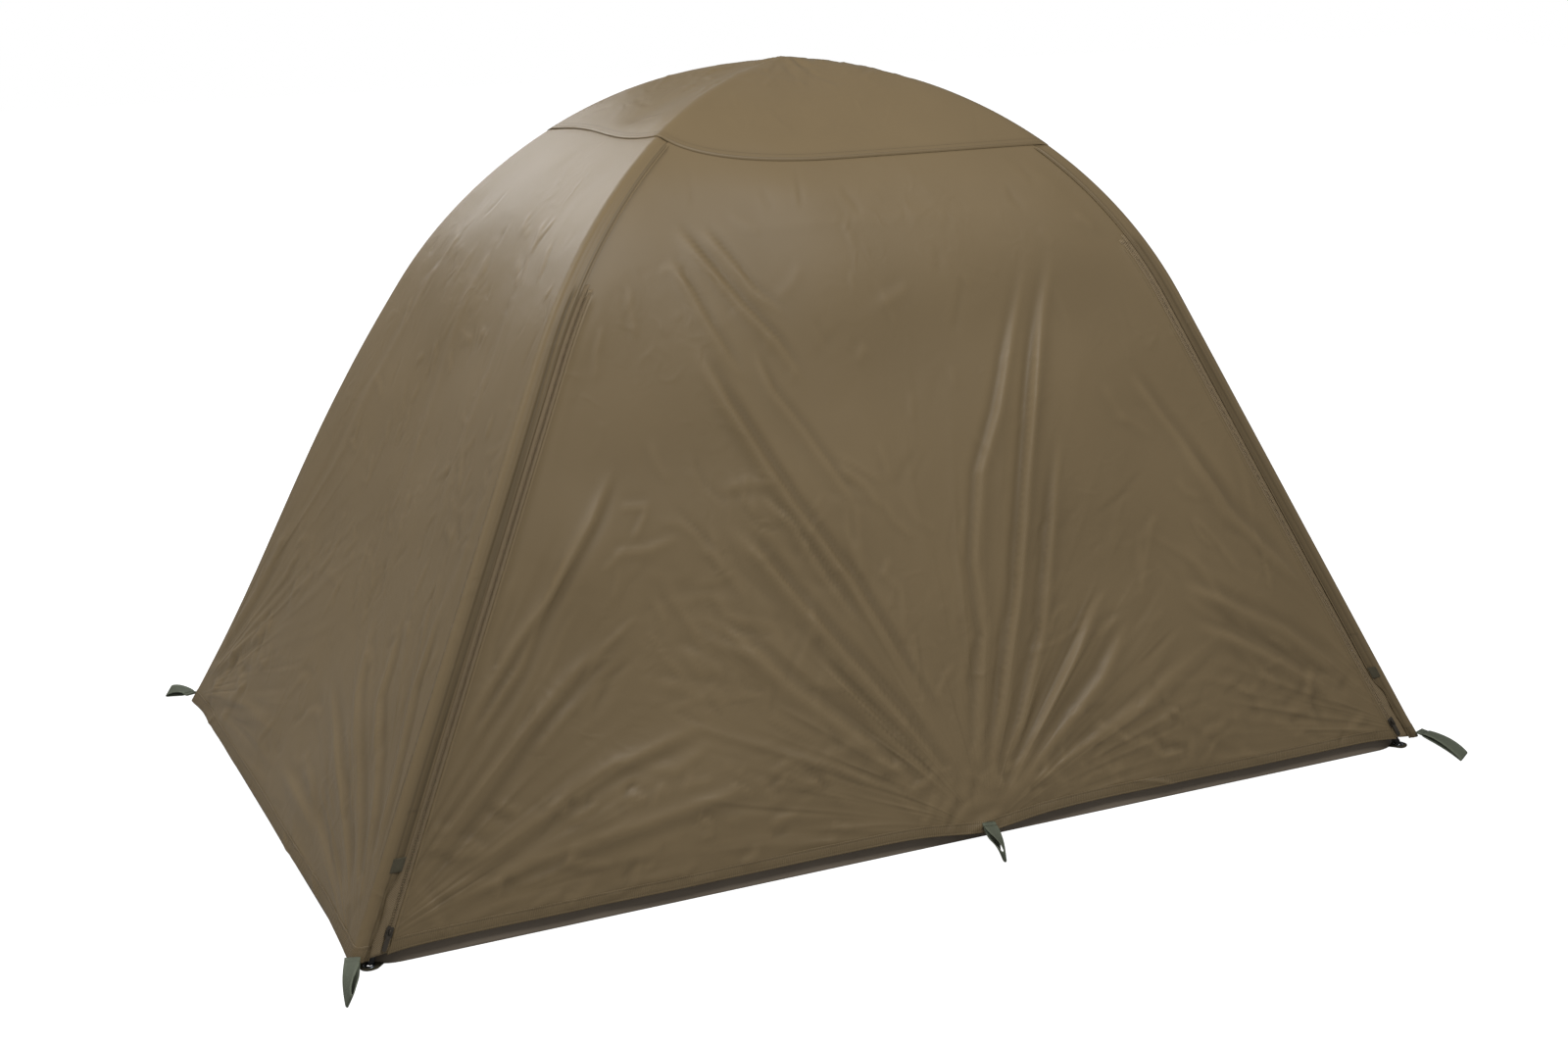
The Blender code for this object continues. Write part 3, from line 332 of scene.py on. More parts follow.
def crease(along, rise, line, height, width, lean=0.6):
    """Height of one crease along a line of points: a sharp crest with a hollow on its
    left, which fades out at both ends."""
    line = np.asarray(line, float)
    start, step = line[:-1].T, np.diff(line, axis=0).T
    lengths = np.hypot(*step)
    before = np.concatenate([[0], np.cumsum(lengths)])
    reach = CREASE_REACH * width
    near = ((along > line[:, 0].min() - reach) & (along < line[:, 0].max() + reach)
            & (rise > line[:, 1].min() - reach) & (rise < line[:, 1].max() + reach))
    total = np.zeros_like(along)
    if not near.any():
        return total
    x, z = along[near][:, None] - start[0], rise[near][:, None] - start[1]
    part = np.clip((x * step[0] + z * step[1]) / lengths ** 2, 0, 1)
    x, z = x - part * step[0], z - part * step[1]
    away = np.hypot(x, z)
    side = np.sign(step[0] * z - step[1] * x) * away
    done = (before[:-1] + part * lengths) / before[-1]
    nearest = np.argmin(away, 1)[:, None]
    away, side, done = (np.take_along_axis(item, nearest, 1)[:, 0] for item in (away, side, done))
    fade = eased(done / FADE_IN) * eased((1 - done) / FADE_OUT)
    core = CREST_CORE * width
    crest = np.exp(-(np.sqrt(away ** 2 + core ** 2) - core) / (CREST_FALL * width))
    hollow = np.exp(-((side - HOLLOW_OFF * width) / width) ** 2)
    total[near] = height * fade * (crest - lean * hollow)
    return total


def crinkles(along, rise, seed, count, box, heading, spread, length, height, width):
    """Many short creases, each near the way that the cloth is pulled there. The heading is
    a function of the place."""
    dice = np.random.default_rng(seed)
    total = np.zeros_like(along)
    for _ in range(count):
        x, z = dice.uniform(box[0], box[2]), dice.uniform(box[1], box[3])
        way = heading(x, z) + dice.normal(0, spread)
        half = length * dice.uniform(0.4, 1.5) / 2
        bend = dice.normal(0, BRANCH_BEND)
        line = [(x - half * cos(way - bend), z - half * sin(way - bend)), (x, z),
                (x + half * cos(way + bend), z + half * sin(way + bend))]
        total += crease(along, rise, line, height * dice.uniform(-1, 1.4),
                        width * dice.uniform(0.6, 1.5), BRANCH_LEAN)
    return total


# The creases of the front, as height, width and points on it in centimetres: across from
# the middle, and up from the hem. Most run from the ridges to the peg loop at mid hem.
FRONT_CREASES = (
    (0.0026, 0.012, "-36 107  -31 100  -26 93  -20 86  -15 78"),
    (0.0016, 0.010, "-31 106  -27 101  -23 95  -17 90"),
    (0.0022, 0.011, "-25 86  -22 78  -17 71  -12 63  -7 55"),
    (0.0054, 0.016, "-36 88  -31 77  -25 66  -21 59  -15 50  -11 44  -6 34  -1 24  2 17"),
    (0.0034, 0.010, "-27 62  -21 55  -16 46  -10 36"),
    (0.0060, 0.018, "-34 58  -28 51  -23 44  -15 33  -6 21  0 12  5 4"),
    (0.0036, 0.012, "-20 33  -12 23  -4 13  3 5"),
    (0.0034, 0.020, "-38 43  -32 36  -26 29  -18 22  -10 14  0 5"),
    (0.0018, 0.012, "-38 102  -35 96  -32 89  -27 80"),
    (0.0036, 0.015, "8 5  11 20  14 32  14 45  17 60  22 70  27 83  33 99"),
    (0.0062, 0.017, "10 4  16 20  22 39  26 56  30 73  34 87  38 99"),
    (0.0046, 0.015, "11 4  19 16  26 31  30 47  35 67"),
    (0.0050, 0.018, "12 3  23 15  32 26  40 37"),
    (0.0040, 0.020, "13 3  27 13  37 21  46 32"),
    (0.0026, 0.022, "14 3  30 9  45 15  60 24"),
    (0.0030, 0.014, "-56 93  -63 81  -68 70  -74 57  -82 41  -88 31"),
    (0.0034, 0.014, "-52 70  -58 61  -67 50  -74 43  -82 34  -89 25"),
    (0.0026, 0.013, "-61 58  -68 48  -74 39  -85 28"),
    (0.0030, 0.017, "-53 44  -63 38  -73 30  -87 17  -99 6"),
    (0.0024, 0.018, "-40 26  -61 21  -75 15  -93 6"),
    (0.0020, 0.018, "-30 14  -52 12  -76 9  -95 4"),
    (0.0032, 0.020, "59 61  68 47  76 39  85 30"),
    (0.0026, 0.018, "55 36  66 30  79 23  93 12"),
    (0.0036, 0.020, "58 28  73 20  84 13  95 7"),
    (0.0026, 0.016, "50 75  62 58  72 43"),
)

# The creases of the short sides, for the left one: across from its middle, and up.
SHORT_CREASES = (
    (0.0030, 0.016, "-58 5  -39 17  -21 28  -10 42"),
    (0.0034, 0.016, "-59 6  -49 17  -32 30  -24 46"),
    (0.0026, 0.016, "-56 3  -42 10  -22 19  -2 26"),
    (0.0034, 0.014, "-58 9  -52 22  -44 36  -40 54"),
    (0.0022, 0.018, "-54 3  -28 7  5 8"),
    (0.0030, 0.024, "-31 105  -38 92  -40 78  -41 62  -43 47  -49 31"),
    (0.0024, 0.022, "-16 100  -20 84  -22 66  -28 48"),
    (0.0022, 0.024, "4 102  3 84  0 66  -5 50"),
    (0.0026, 0.022, "20 100  25 82  30 63  36 44"),
    (0.0030, 0.018, "59 5  46 16  33 24"),
    (0.0030, 0.018, "60 8  50 24  42 42"),
    (0.0022, 0.020, "57 3  38 8  14 11"),
)


def crease_line(places):
    return np.array(places.split(), float).reshape(-1, 2) / 100


def across_share(turn, along, rise):
    return np.clip(along / half_width(turn, rise), -1, 1)


FRONT_LOOP_SHIFT = 0.092        # of the front peg loop from mid hem

# The roof seam above its drawn level: at each side's left end, middle and right end.
SEAM_LIFTS = {FRONT: (0.078, 0.022, 0.022), RIGHT: (0.022, 0.008, 0.036),
              BACK: (0.036, 0.006, 0.044), LEFT: (0.044, 0.060, 0.078)}


def seam_rise(turn, across):
    """The roof seam sags between the ridges: its rise across a side, from -1 to 1."""
    left, middle, right = SEAM_LIFTS[turn]
    end = np.where(np.asarray(across) < 0, left, right)
    return ROOF_SEAM_RISE + middle + (end - middle) * np.abs(across) ** 2.4


def under_cap(turn, across, rise, start=0.010):
    """From 0 to 1 where a side goes under the roof cap."""
    return eased((rise - seam_rise(turn, across) + start) / start)


def pulled_to_corner(half):
    """The way that the cloth is pulled: towards the nearer lower corner."""
    return lambda x, z: atan2(z, x + half) if x < 0 else atan2(z, x - half)


def pulled_to_loop(half):
    def heading(x, z):
        if abs(x) < 0.55 * half * (1 - z / APEX_RISE) + 0.12:
            return atan2(z, x)
        return pulled_to_corner(half)(x, z)
    return heading


def pull_field(turn, along, rise):
    """For the fine folds: the angle round the nearest peg or corner, the way out from it,
    and how strongly the cloth is pulled there."""
    half = face_halves(turn)[0]
    middle = FRONT_LOOP_SHIFT if turn == FRONT else 0.0
    pegs = [(-half, 0.0), (half, 0.0)] + ([(middle, 0.0)] if turn in (FRONT, BACK) else [])
    away = np.stack([np.hypot(along - x, rise - z) for x, z in pegs])
    nearest = np.argmin(away, 0)
    reach, second = np.sort(away, 0)[:2]
    x = np.array([peg[0] for peg in pegs])[nearest]
    angle = np.arctan2(rise, along - x)
    strength = eased((second - reach) / 0.16) * eased((0.95 - reach) / 0.6) * eased(reach / 0.30)
    return np.stack([angle * 13 + 7.3 * nearest, reach * 3.2, strength], -1)


SOFTENINGS = 6
TONE_GAIN = 78                  # change of tone for each metre off the softened cloth
DARKEST, PALEST = -0.16, 0.06


def fold_shading(lift):
    """Painted shade darkens the hollows, and a painted highlight lightens the crests."""
    soft = lift.copy()
    for _ in range(SOFTENINGS):
        soft[1:-1, 1:-1] = (soft[:-2, 1:-1] + soft[2:, 1:-1] + soft[1:-1, :-2]
                            + soft[1:-1, 2:]) / 4
    return np.clip(TONE_GAIN * (lift - soft), DARKEST, PALEST)


# The crinkles of each kind of side: count, box, the way that they run, its spread, and
# their length, height and width.
LONG_CRINKLES = (
    (260, (-1.0, 0.0, 1.0, 0.55), pulled_to_loop(WIDTH / 2), 0.22, 0.13, 0.0015, 0.0072),
    (110, (-0.62, 0.3, 0.62, 1.14), pulled_to_loop(WIDTH / 2), 0.5, 0.08, 0.0009, 0.009),
    (240, (-1.0, 0.02, 1.0, 0.18), lambda x, z: 0.3 * sin(9 * x), 0.7, 0.055, 0.0026, 0.0072),
    (90, (-0.50, 0.15, 0.0, 0.65), pulled_to_loop(WIDTH / 2), 0.6, 0.10, 0.0014, 0.0068),
)
SHORT_CRINKLES = (
    (230, (-0.42, 0.35, 0.3, 1.05), lambda x, z: 1.2, 0.8, 0.055, 0.0014, 0.006),
    (120, (-0.62, 0.0, 0.62, 0.45), pulled_to_corner(DEPTH / 2), 0.4, 0.09, 0.0015, 0.009),
    (60, (0.3, 0.0, 0.6, 0.35), pulled_to_corner(DEPTH / 2), 0.8, 0.06, 0.0022, 0.008),
)
SIDE_SEEDS = {FRONT: (11, 1), BACK: (71, -1), LEFT: (31, -1), RIGHT: (91, 1)}


def side_lift(turn, along, rise):
    """How far a side stands off its flat shape: it sags, waves and creases, and nothing
    lifts beside the ridges and just below the roof seam."""
    seed, mirror = SIDE_SEEDS[turn]
    x = along * mirror
    room = half_width(turn, rise) - np.abs(along)
    bulge = np.sin(np.clip(rise / 1.05, 0, 1) * pi) ** 0.8
    if turn in (FRONT, BACK):
        flat_edge, crinkled = 0.050, LONG_CRINKLES
        lift = -0.010 * eased(room / 0.45) * bulge
        lift += waves(x, rise, seed, 0.16, 0.55, 0.0050) * eased(room / 0.18)
        for height, width, places in FRONT_CREASES:
            lift += crease(x, rise, crease_line(places), 1.7 * height, 0.74 * width)
    else:
        flat_edge, crinkled = 0.0, SHORT_CRINKLES
        lift = -0.006 * eased(room / 0.35) * bulge
        lift += waves(x, rise, seed, 0.14, 0.5, 0.0038) * eased(room / 0.16)
        for height, width, places in SHORT_CREASES:
            line = crease_line(places)
            share = 1.3 if line[:, 1].max() < 0.6 else 0.6
            lift += crease(x, rise, line, share * height, 0.85 * width)
    for step, values in enumerate(crinkled, 1):
        lift += crinkles(x, rise, seed + step, *values)
    below = seam_rise(turn, across_share(turn, along, rise)) - rise
    return lift * (eased((room - flat_edge) / 0.05) * eased(below / 0.07))


RIDGE_BOW = 0.024               # by which the back left ridge stands out in a fuller curve
LOWEST = 0.0022                 # of the hem above the ground
CORNER_PULL = (0.005, 0.004, -0.009)
CORNER_PULL_REACH = 0.070
LOOP_SINK = 0.015
LOOP_SINK_REACH = 0.10
ROOT_STAND = 0.0035
ROOT_REACH = 0.022


def bowed(points):
    """The pole at the back left springs out further than the others, cloth and all."""
    points = np.array(points, float)
    rise = points[..., 2] - FOOT_RISE
    out_x, out_y = -WIDTH / 2 / REACH, DEPTH / 2 / REACH
    out = points[..., 0] * out_x + points[..., 1] * out_y
    beside = np.abs(points[..., 1] * out_x - points[..., 0] * out_y)
    bow = RIDGE_BOW * eased((rise - 0.10) / 0.55) * eased((1.18 - rise) / 0.50)
    bow = bow * eased(1 - beside / 0.40) * (out > 0)
    level = np.clip(REACH * share_left(rise) / ROOF_RADIUS, 0, sin(LEG_TILT))
    for axis, way in enumerate((level * out_x, level * out_y, np.sqrt(1 - level ** 2))):
        points[..., axis] += bow * way
    return points


def settled(points):
    """The hem sinks a little at the corners and where a peg loop pulls it, and stands out
    over the loop's root."""
    points = bowed(points)
    rise = points[..., 2] - FOOT_RISE
    low = eased(1 - rise / 0.045)
    for x in (-1, 1):
        for y in (-1, 1):
            away = np.hypot(points[..., 0] - x * WIDTH / 2, points[..., 1] - y * DEPTH / 2)
            pull = np.exp(-(away / CORNER_PULL_REACH) ** 2) * low
            points += np.array([x, y, 1]) * CORNER_PULL * pull[..., None]
    reach = eased(1 - rise / 0.16)
    for y, middle in ((-1, FRONT_LOOP_SHIFT), (1, 0.0)):
        near = np.abs(points[..., 1] - y * DEPTH / 2) < 0.14
        beside = points[..., 0] - middle
        pull = np.exp(-(beside / LOOP_SINK_REACH) ** 2) * reach * near
        points[..., 2] -= LOOP_SINK * pull
        points[..., 1] += y * ROOT_STAND * np.exp(-(beside / ROOT_REACH) ** 2) * low * near
    points[..., 2] = np.maximum(points[..., 2], LOWEST)
    return points


def line_on_side(turn, along, rise, lift):
    """A line drawn on a finished side, as its places and the way out of the cloth."""
    along, rise = alike(along, rise)
    point, normal = flat_side(turn, along, rise)
    off = side_lift(turn, along, rise) + lift
    return settled(point + normal * off[..., None]), normal


def lengths_passed(line):
    steps = np.linalg.norm(np.diff(line, axis=0), axis=1)
    return np.concatenate([[0], np.cumsum(steps)])


def uv_map(along, across):
    return np.stack(alike(along, across), -1)


def thicken(made, thickness, offset):
    wall = made.modifiers.new("cloth", "SOLIDIFY")
    wall.thickness = thickness
    wall.offset = offset


def face_out(made, fan=0):
    """Turn all faces outwards. Fan closes the hole inside the first so many points."""
    work = bmesh.new()
    work.from_mesh(made.data)
    if fan:
        work.verts.ensure_lookup_table()
        work.faces.new([work.verts[i] for i in reversed(range(fan))])
        bmesh.ops.triangulate(work, faces=[f for f in work.faces if len(f.verts) > 4])
    bmesh.ops.recalc_face_normals(work, faces=work.faces)
    work.to_mesh(made.data)
    work.free()
    made.data.polygons.foreach_set("use_smooth", [True] * len(made.data.polygons))


def grid_piece(name, points, uv, surface, body, slot, *replaced, thickness=CLOTH_THICKNESS,
               closed=False, caps=False, tone=None, pull=None):
    """A sheet through rows of points, lowest first and left to right seen from outside.
    Closed joins the columns into a tube, and caps close its ends."""
    rows, columns = points.shape[:2]
    corners = points.reshape(-1, 3)
    first = np.arange(rows - 1)[:, None] * columns + np.arange(columns - 1)[None, :]
    faces = np.stack([first, first + 1, first + columns + 1, first + columns], -1).reshape(-1, 4)
    if closed:
        last = np.arange(rows - 1) * columns
        seam = np.stack([last + columns - 1, last, last + columns, last + 2 * columns - 1], -1)
        faces = np.concatenate([faces, seam])
    faces = faces.tolist()
    if caps:
        faces.append(list(range(columns))[::-1])
        faces.append(list(range((rows - 1) * columns, rows * columns)))
    mesh = bpy.data.meshes.new(name)
    mesh.from_pydata(corners.tolist(), [], faces)
    mesh.polygons.foreach_set("use_smooth", [True] * len(faces))
    layer = mesh.uv_layers.new(name="UVMap")
    where = np.zeros(len(mesh.loops), np.int32)
    mesh.loops.foreach_get("vertex_index", where)
    layer.data.foreach_set("uv", uv.reshape(-1, 2)[where].astype(np.float32).ravel())
    tones = np.ones(len(corners)) if tone is None else np.asarray(tone).reshape(-1)
    held = mesh.attributes.new("tone", "FLOAT", "POINT")
    held.data.foreach_set("value", tones.astype(np.float32))
    if pull is not None:
        held = mesh.attributes.new("pull", "FLOAT_VECTOR", "POINT")
        held.data.foreach_set("vector", np.asarray(pull, np.float32).ravel())
    mesh.materials.append(surface)
    made = shown(bpy.data.objects.new(name, mesh))
    if thickness:
        thicken(made, thickness, -1)
    if body:
        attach(made, body)
    if replaced:
        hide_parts(*replaced)
    return made


# The tub groundsheet: coated cloth with welded corners, folded up 7 cm all round. Its
# wall leans with the fly, stands a little inside it, and is wrinkled where it meets the
# ground.

TUB_HEIGHT = 0.070
TUB_MARGIN = 0.012
TUB_CORNER_RADIUS = 0.070
TUB_LEAST_RADIUS = 0.004        # of the floor's inner loops
TUB_COLUMNS = 640
TUB = cloth_finish("tub_cloth", (0.200, 0.164, 0.124), 0.5, 0.0008, 0.8)
FLOOR_INSETS = (0.30, 0.24, 0.18, 0.13, 0.09, 0.06, 0.04, 0.025, 0.014, 0.006, 0.001)
WALL_HEIGHTS = (0.0014, 0.004, 0.008, 0.013, 0.019, 0.026, 0.034, 0.043, 0.052, 0.061, 0.070)
CORNERS = {"front_left": (-1, -1), "front_right": (1, -1), "back_right": (1, 1),
           "back_left": (-1, 1)}


def tub_loop(height, inset):
    """Points round the tub at a height, evenly spaced, from the middle of the front."""
    lean = height / tan(LEG_TILT) / REACH
    half_x = WIDTH / 2 * (1 - lean) - TUB_MARGIN - inset
    half_y = DEPTH / 2 * (1 - lean) - TUB_MARGIN - inset
    radius = max(TUB_CORNER_RADIUS - inset, TUB_LEAST_RADIUS)
    path = [(0, -half_y)]
    for turn, (x, y) in enumerate(((1, -1), (1, 1), (-1, 1), (-1, -1))):
        for angle in (turn - 1) * pi / 2 + np.arange(13) * pi / 24:
            path.append((x * (half_x - radius) + radius * cos(angle),
                         y * (half_y - radius) + radius * sin(angle)))
    path = np.array(path + path[:1])
    passed = lengths_passed(path)
    share = np.arange(TUB_COLUMNS) / TUB_COLUMNS * passed[-1]
    return np.stack([np.interp(share, passed, path[:, i]) for i in range(2)], -1), share


def groundsheet():
    dice = np.random.default_rng(5)
    flat = np.zeros(TUB_COLUMNS)
    rows, maps = [], []
    for inset in FLOOR_INSETS:
        loop, passed = tub_loop(0, inset)
        ripple = np.abs(np.sin(passed * 21 + 3 * np.sin(passed * 5)))
        rows.append(np.column_stack([loop, 0.0006 + 0.0010 * ripple * (inset > 0.004)]))
        maps.append(np.column_stack([passed, flat - inset]))
    for height in WALL_HEIGHTS:
        loop, passed = tub_loop(height, 0)
        wave = sum(np.sin(passed * 2 * pi / length + dice.uniform(0, 6))
                   for length in (0.17, 0.083, 0.051))
        share = height / TUB_HEIGHT
        push = 0.0014 * wave * sin(pi * min(share, 1)) * (0.5 + share)
        middle = loop / np.linalg.norm(loop, axis=1)[:, None]
        loop = loop - middle * (np.abs(push) + 0.0004)[:, None]
        rows.append(np.column_stack([loop, flat + height]))
        maps.append(np.column_stack([passed, flat + height]))
    made = grid_piece("groundsheet_tub", np.array(rows), np.array(maps), TUB, None, "tub_cloth",
                      thickness=0, closed=True)
    face_out(made, TUB_COLUMNS)
    thicken(made, CLOTH_THICKNESS, 1)
    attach(made, "shelter")
    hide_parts("groundsheet")
    return made


tub = groundsheet()


# The tub's corner tabs: a tongue of webbing sewn to each rounded corner, with a rolled
# metal eyelet that takes the pin of the pole's foot.

WEBBING_WEAVE = {"pitch": 0.0009, "crumple": 0.3, "gloss": 0.2, "rib_pitch": 0.0019,
                 "rib_height": 0.0004}
WEBBING = cloth_finish("webbing", (0.125, 0.140, 0.102), 0.72, rib_shade=0.25, **WEBBING_WEAVE)
TAB_WEBBING = cloth_finish("tab_webbing", (0.088, 0.078, 0.050), 0.7, rib_shade=0.2,
                           **WEBBING_WEAVE)
EYELET_HOLE = 0.0056
EYELET_RIM = 0.0101
TAB_ROUND = 0.0171
TAB_MIDDLE_RISE = 0.0025
TAB_PLATE = 0.0014
TAB_ANGLE = radians(16)
POLE_FOOT_INSET = 0.035
STEPS_ROUND = 40
SHARP_ANGLE = radians(38)


def metal_finish(name, colour, roughness, metallic=1.0, wear=0.35, grain=400.0):
    """Metal or plastic with fine scratches, duller where it is touched."""
    made, tree = new_material(name)
    where = node(tree, "ShaderNodeTexCoord").outputs["Object"]
    cloud = node(tree, "ShaderNodeTexNoise", {"Scale": 90.0, "Detail": 6.0, "Vector": where})
    squeeze = node(tree, "ShaderNodeMapping", {"Scale": (1.0, 1.0, 0.12), "Vector": where})
    scratch = node(tree, "ShaderNodeTexNoise", {"Scale": grain, "Detail": 4.0,
                                                "Vector": squeeze.outputs["Vector"]})
    tint = node(tree, "ShaderNodeMix", {"A": tinted(colour, 0.7), "B": tinted(colour, 1.35),
                                        "Factor": cloud.outputs["Fac"]}, data_type="RGBA")
    rough = node(tree, "ShaderNodeMapRange", {"To Min": roughness * (1 - wear),
                                              "To Max": roughness * (1 + wear),
                                              "Value": scratch.outputs["Fac"]})
    bump = node(tree, "ShaderNodeBump", {"Strength": 0.25, "Distance": 0.0001,
                                         "Height": scratch.outputs["Fac"]})
    feed(tree, tree.nodes["Principled BSDF"],
         {"Metallic": metallic, "Base Color": tint.outputs["Result"],
          "Roughness": rough.outputs["Result"], "Normal": bump.outputs["Normal"]})
    return made


STEEL = metal_finish("eyelet_steel", (0.20, 0.23, 0.26), 0.34)


def solid_piece(name, shape, matrix, surface, body, slot, *replaced):
    """Turn a bmesh into a piece of the scene on its body, and hide the parts that it replaces."""
    bmesh.ops.recalc_face_normals(shape, faces=shape.faces)
    shape.transform(matrix)
    mesh = bpy.data.meshes.new(name)
    shape.to_mesh(mesh)
    shape.free()
    mesh.polygons.foreach_set("use_smooth", [True] * len(mesh.polygons))
    mesh.set_sharp_from_angle(angle=SHARP_ANGLE)
    mesh.materials.append(surface)
    made = shown(bpy.data.objects.new(name, mesh))
    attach(made, body)
    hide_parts(*replaced)


def bridge_rings(shape, rings):
    """Faces between rings of points, with no edge where a ring is one point, repeated."""
    for lower, upper in zip(rings, rings[1:]):
        for around in zip(lower, lower[1:] + lower[:1], upper[1:] + upper[:1], upper):
            corners = list(dict.fromkeys(around))
            if len(corners) > 2:
                shape.faces.new(corners)


def turned_piece(name, profile, matrix, surface, body, slot, *replaced):
    """A closed profile of radii and heights, turned about its own upright line."""
    shape = bmesh.new()
    turn = np.arange(STEPS_ROUND) * 2 * pi / STEPS_ROUND
    rings = [[shape.verts.new((radius * cos(a), radius * sin(a), height)) for a in turn] if radius
             else [shape.verts.new((0, 0, height))] * STEPS_ROUND for radius, height in profile]
    bridge_rings(shape, rings + rings[:1])
    solid_piece(name, shape, matrix, surface, body, slot, *replaced)


def corner_tab(corner, side_x, side_y):
    """The tongue, as rings from the eyelet's hole to its edge, and the rolled eyelet."""
    inset = TUB_MARGIN + TUB_CORNER_RADIUS
    eye = np.array([side_x * WIDTH / 2, side_y * DEPTH / 2]) * (1 - POLE_FOOT_INSET / REACH)
    centre = np.array([side_x * (WIDTH / 2 - inset), side_y * (DEPTH / 2 - inset)])
    heading = atan2(eye[1] - centre[1], eye[0] - centre[0])
    spread = np.linspace(TAB_ANGLE, -TAB_ANGLE, 9)
    sewn = np.column_stack([(TUB_CORNER_RADIUS - 0.004) * np.cos(spread) - hypot(*(eye - centre)),
                            TUB_CORNER_RADIUS * np.sin(spread)])
    half_turn = np.linspace(-pi / 2, pi / 2, 21)
    tip = TAB_ROUND * np.column_stack([np.cos(half_turn), np.sin(half_turn)])
    outline = np.concatenate([sewn, tip, sewn[:1]])
    dense = np.concatenate([np.linspace(a, b, 12)[:-1] for a, b in zip(outline, outline[1:])])
    angles = np.arctan2(dense[:, 1], dense[:, 0])
    order = np.argsort(angles)
    around = np.linspace(-pi, pi, 73)[:-1]
    edge = np.interp(around, angles[order], np.hypot(*dense[order].T), period=2 * pi)
    hole = EYELET_HOLE + 0.0011
    share = np.linspace(0, 1, 7)[:, None]
    radius = hole + (edge - hole)[None, :] * share
    local = np.stack([radius * np.cos(around), radius * np.sin(around)], -1)
    turn = np.array([[cos(heading), -sin(heading)], [sin(heading), cos(heading)]])
    wave = 0.0005 * np.sin(3 * around + side_x)[None, :] * share ** 2
    points = np.concatenate([local @ turn.T + eye, (TAB_MIDDLE_RISE + wave)[..., None]], -1)
    made = grid_piece(f"{corner}_webbing_tab", points[::-1], local[::-1], TAB_WEBBING, "shelter",
                      "webbing", f"{corner}_tab", thickness=TAB_PLATE, closed=True)
    from_hole = ((0, 0.0030), (0.0006, 0.0042), (0.0018, 0.0045))
    from_rim = ((0.0008, 0.0039), (0, 0.0031), (0.0010, 0.0027))
    under_rim = ((0.0010, 0.0009), (0, 0.0006), (0.0008, 0.0001))
    rolled = [(EYELET_HOLE + x, z) for x, z in from_hole]
    rolled += [(EYELET_RIM - x, z) for x, z in from_rim]
    rolled += [(EYELET_HOLE + 0.0010, 0.0027), (EYELET_HOLE + 0.0010, 0.0009)]
    rolled += [(EYELET_RIM - x, z) for x, z in under_rim]
    rolled += [(EYELET_HOLE + 0.0004, 0.0001), (EYELET_HOLE, 0.0008)]
    turned_piece(f"{corner}_rolled_eyelet", rolled, Matrix.Translation((*eye, 0)), STEEL,
                 "shelter", "eyelet_steel", f"{corner}_eyelet")
    return made


corner_tabs = [corner_tab(corner, *sides) for corner, sides in CORNERS.items()]


# The poles: seven aluminium tubes each, narrowed at one end to slip into the next, held
# together by a braided shock cord. Bent over the tent they cross under the roof. A black
# moulded foot with a pin closes each end.

POLE_RADIUS = 0.00425
POLE_WALL = 0.0006
POLE_SECTIONS = 7
POLE_TIP_RISE = 0.0022
FOOT_RADIUS = 0.0060
FOOT_GROOVE = 0.0055
FOOT_COLLAR = 0.0065
FOOT_PIN_RADIUS = 0.0025
FOOT_PIN_LENGTH = 0.0056
FOOT_FLOOR = 0.006
FOOT_SOCKET = 0.018
SPIGOT_LENGTH = 0.040
SHOULDER_LENGTH = 0.0012
SPIGOT_RADIUS = 0.0030
CORD_RADIUS = 0.00125
CORD_STEPS = 260
FIT = 0.0003
FACE_SHARE = (DEPTH / 2 / REACH) / hypot(WIDTH / 2 / REACH * sin(LEG_TILT), DEPTH / 2 / REACH)
ROOF_FACET = ROOF_RADIUS * (1 - cos(LEG_TILT / 40))
UPPER_INSET = (POLE_RADIUS + 0.002 + FIT) / FACE_SHARE + ROOF_FACET
LOWER_INSET = UPPER_INSET + 2 * POLE_RADIUS + 2 * FIT + ROOF_FACET
TUBE = metal_finish("pole_tube", (0.075, 0.080, 0.085), 0.32)
PLASTIC = metal_finish("black_plastic", (0.022, 0.022, 0.023), 0.48, 0.0)
CORD = cloth_finish("shock_cord", (0.66, 0.58, 0.54), 0.8, 0.0006, crumple=0.0, gloss=0.2,
                    rib_pitch=0.0012, rib_height=0.0003, rib_slant=0.5, rib_shade=0.3)


def pole_line(inset):
    """A pole's middle line in its own upright plane: across, up, distance passed, tilt."""
    radius = ROOF_RADIUS - inset
    centre = FOOT_RISE + ARC_CENTRE
    foot = REACH - POLE_FOOT_INSET
    drop = centre - POLE_TIP_RISE
    tilt = atan2(drop, foot) + asin(radius / hypot(foot, drop))
    leg = np.linspace(0, sqrt(foot ** 2 + drop ** 2 - radius ** 2), 40)[:-1]
    bend = np.linspace(tilt, 0, 61)
    across = np.concatenate([-foot + leg * cos(tilt), -radius * np.sin(bend)])
    up = np.concatenate([POLE_TIP_RISE + leg * sin(tilt), centre + radius * np.cos(bend)])
    across = np.concatenate([across, -across[-2::-1]])
    up = np.concatenate([up, up[-2::-1]])
    return across, up, lengths_passed(np.column_stack([across, up])), tilt


def corner_inset(side_x, side_y):
    return UPPER_INSET if side_x * side_y > 0 else LOWER_INSET


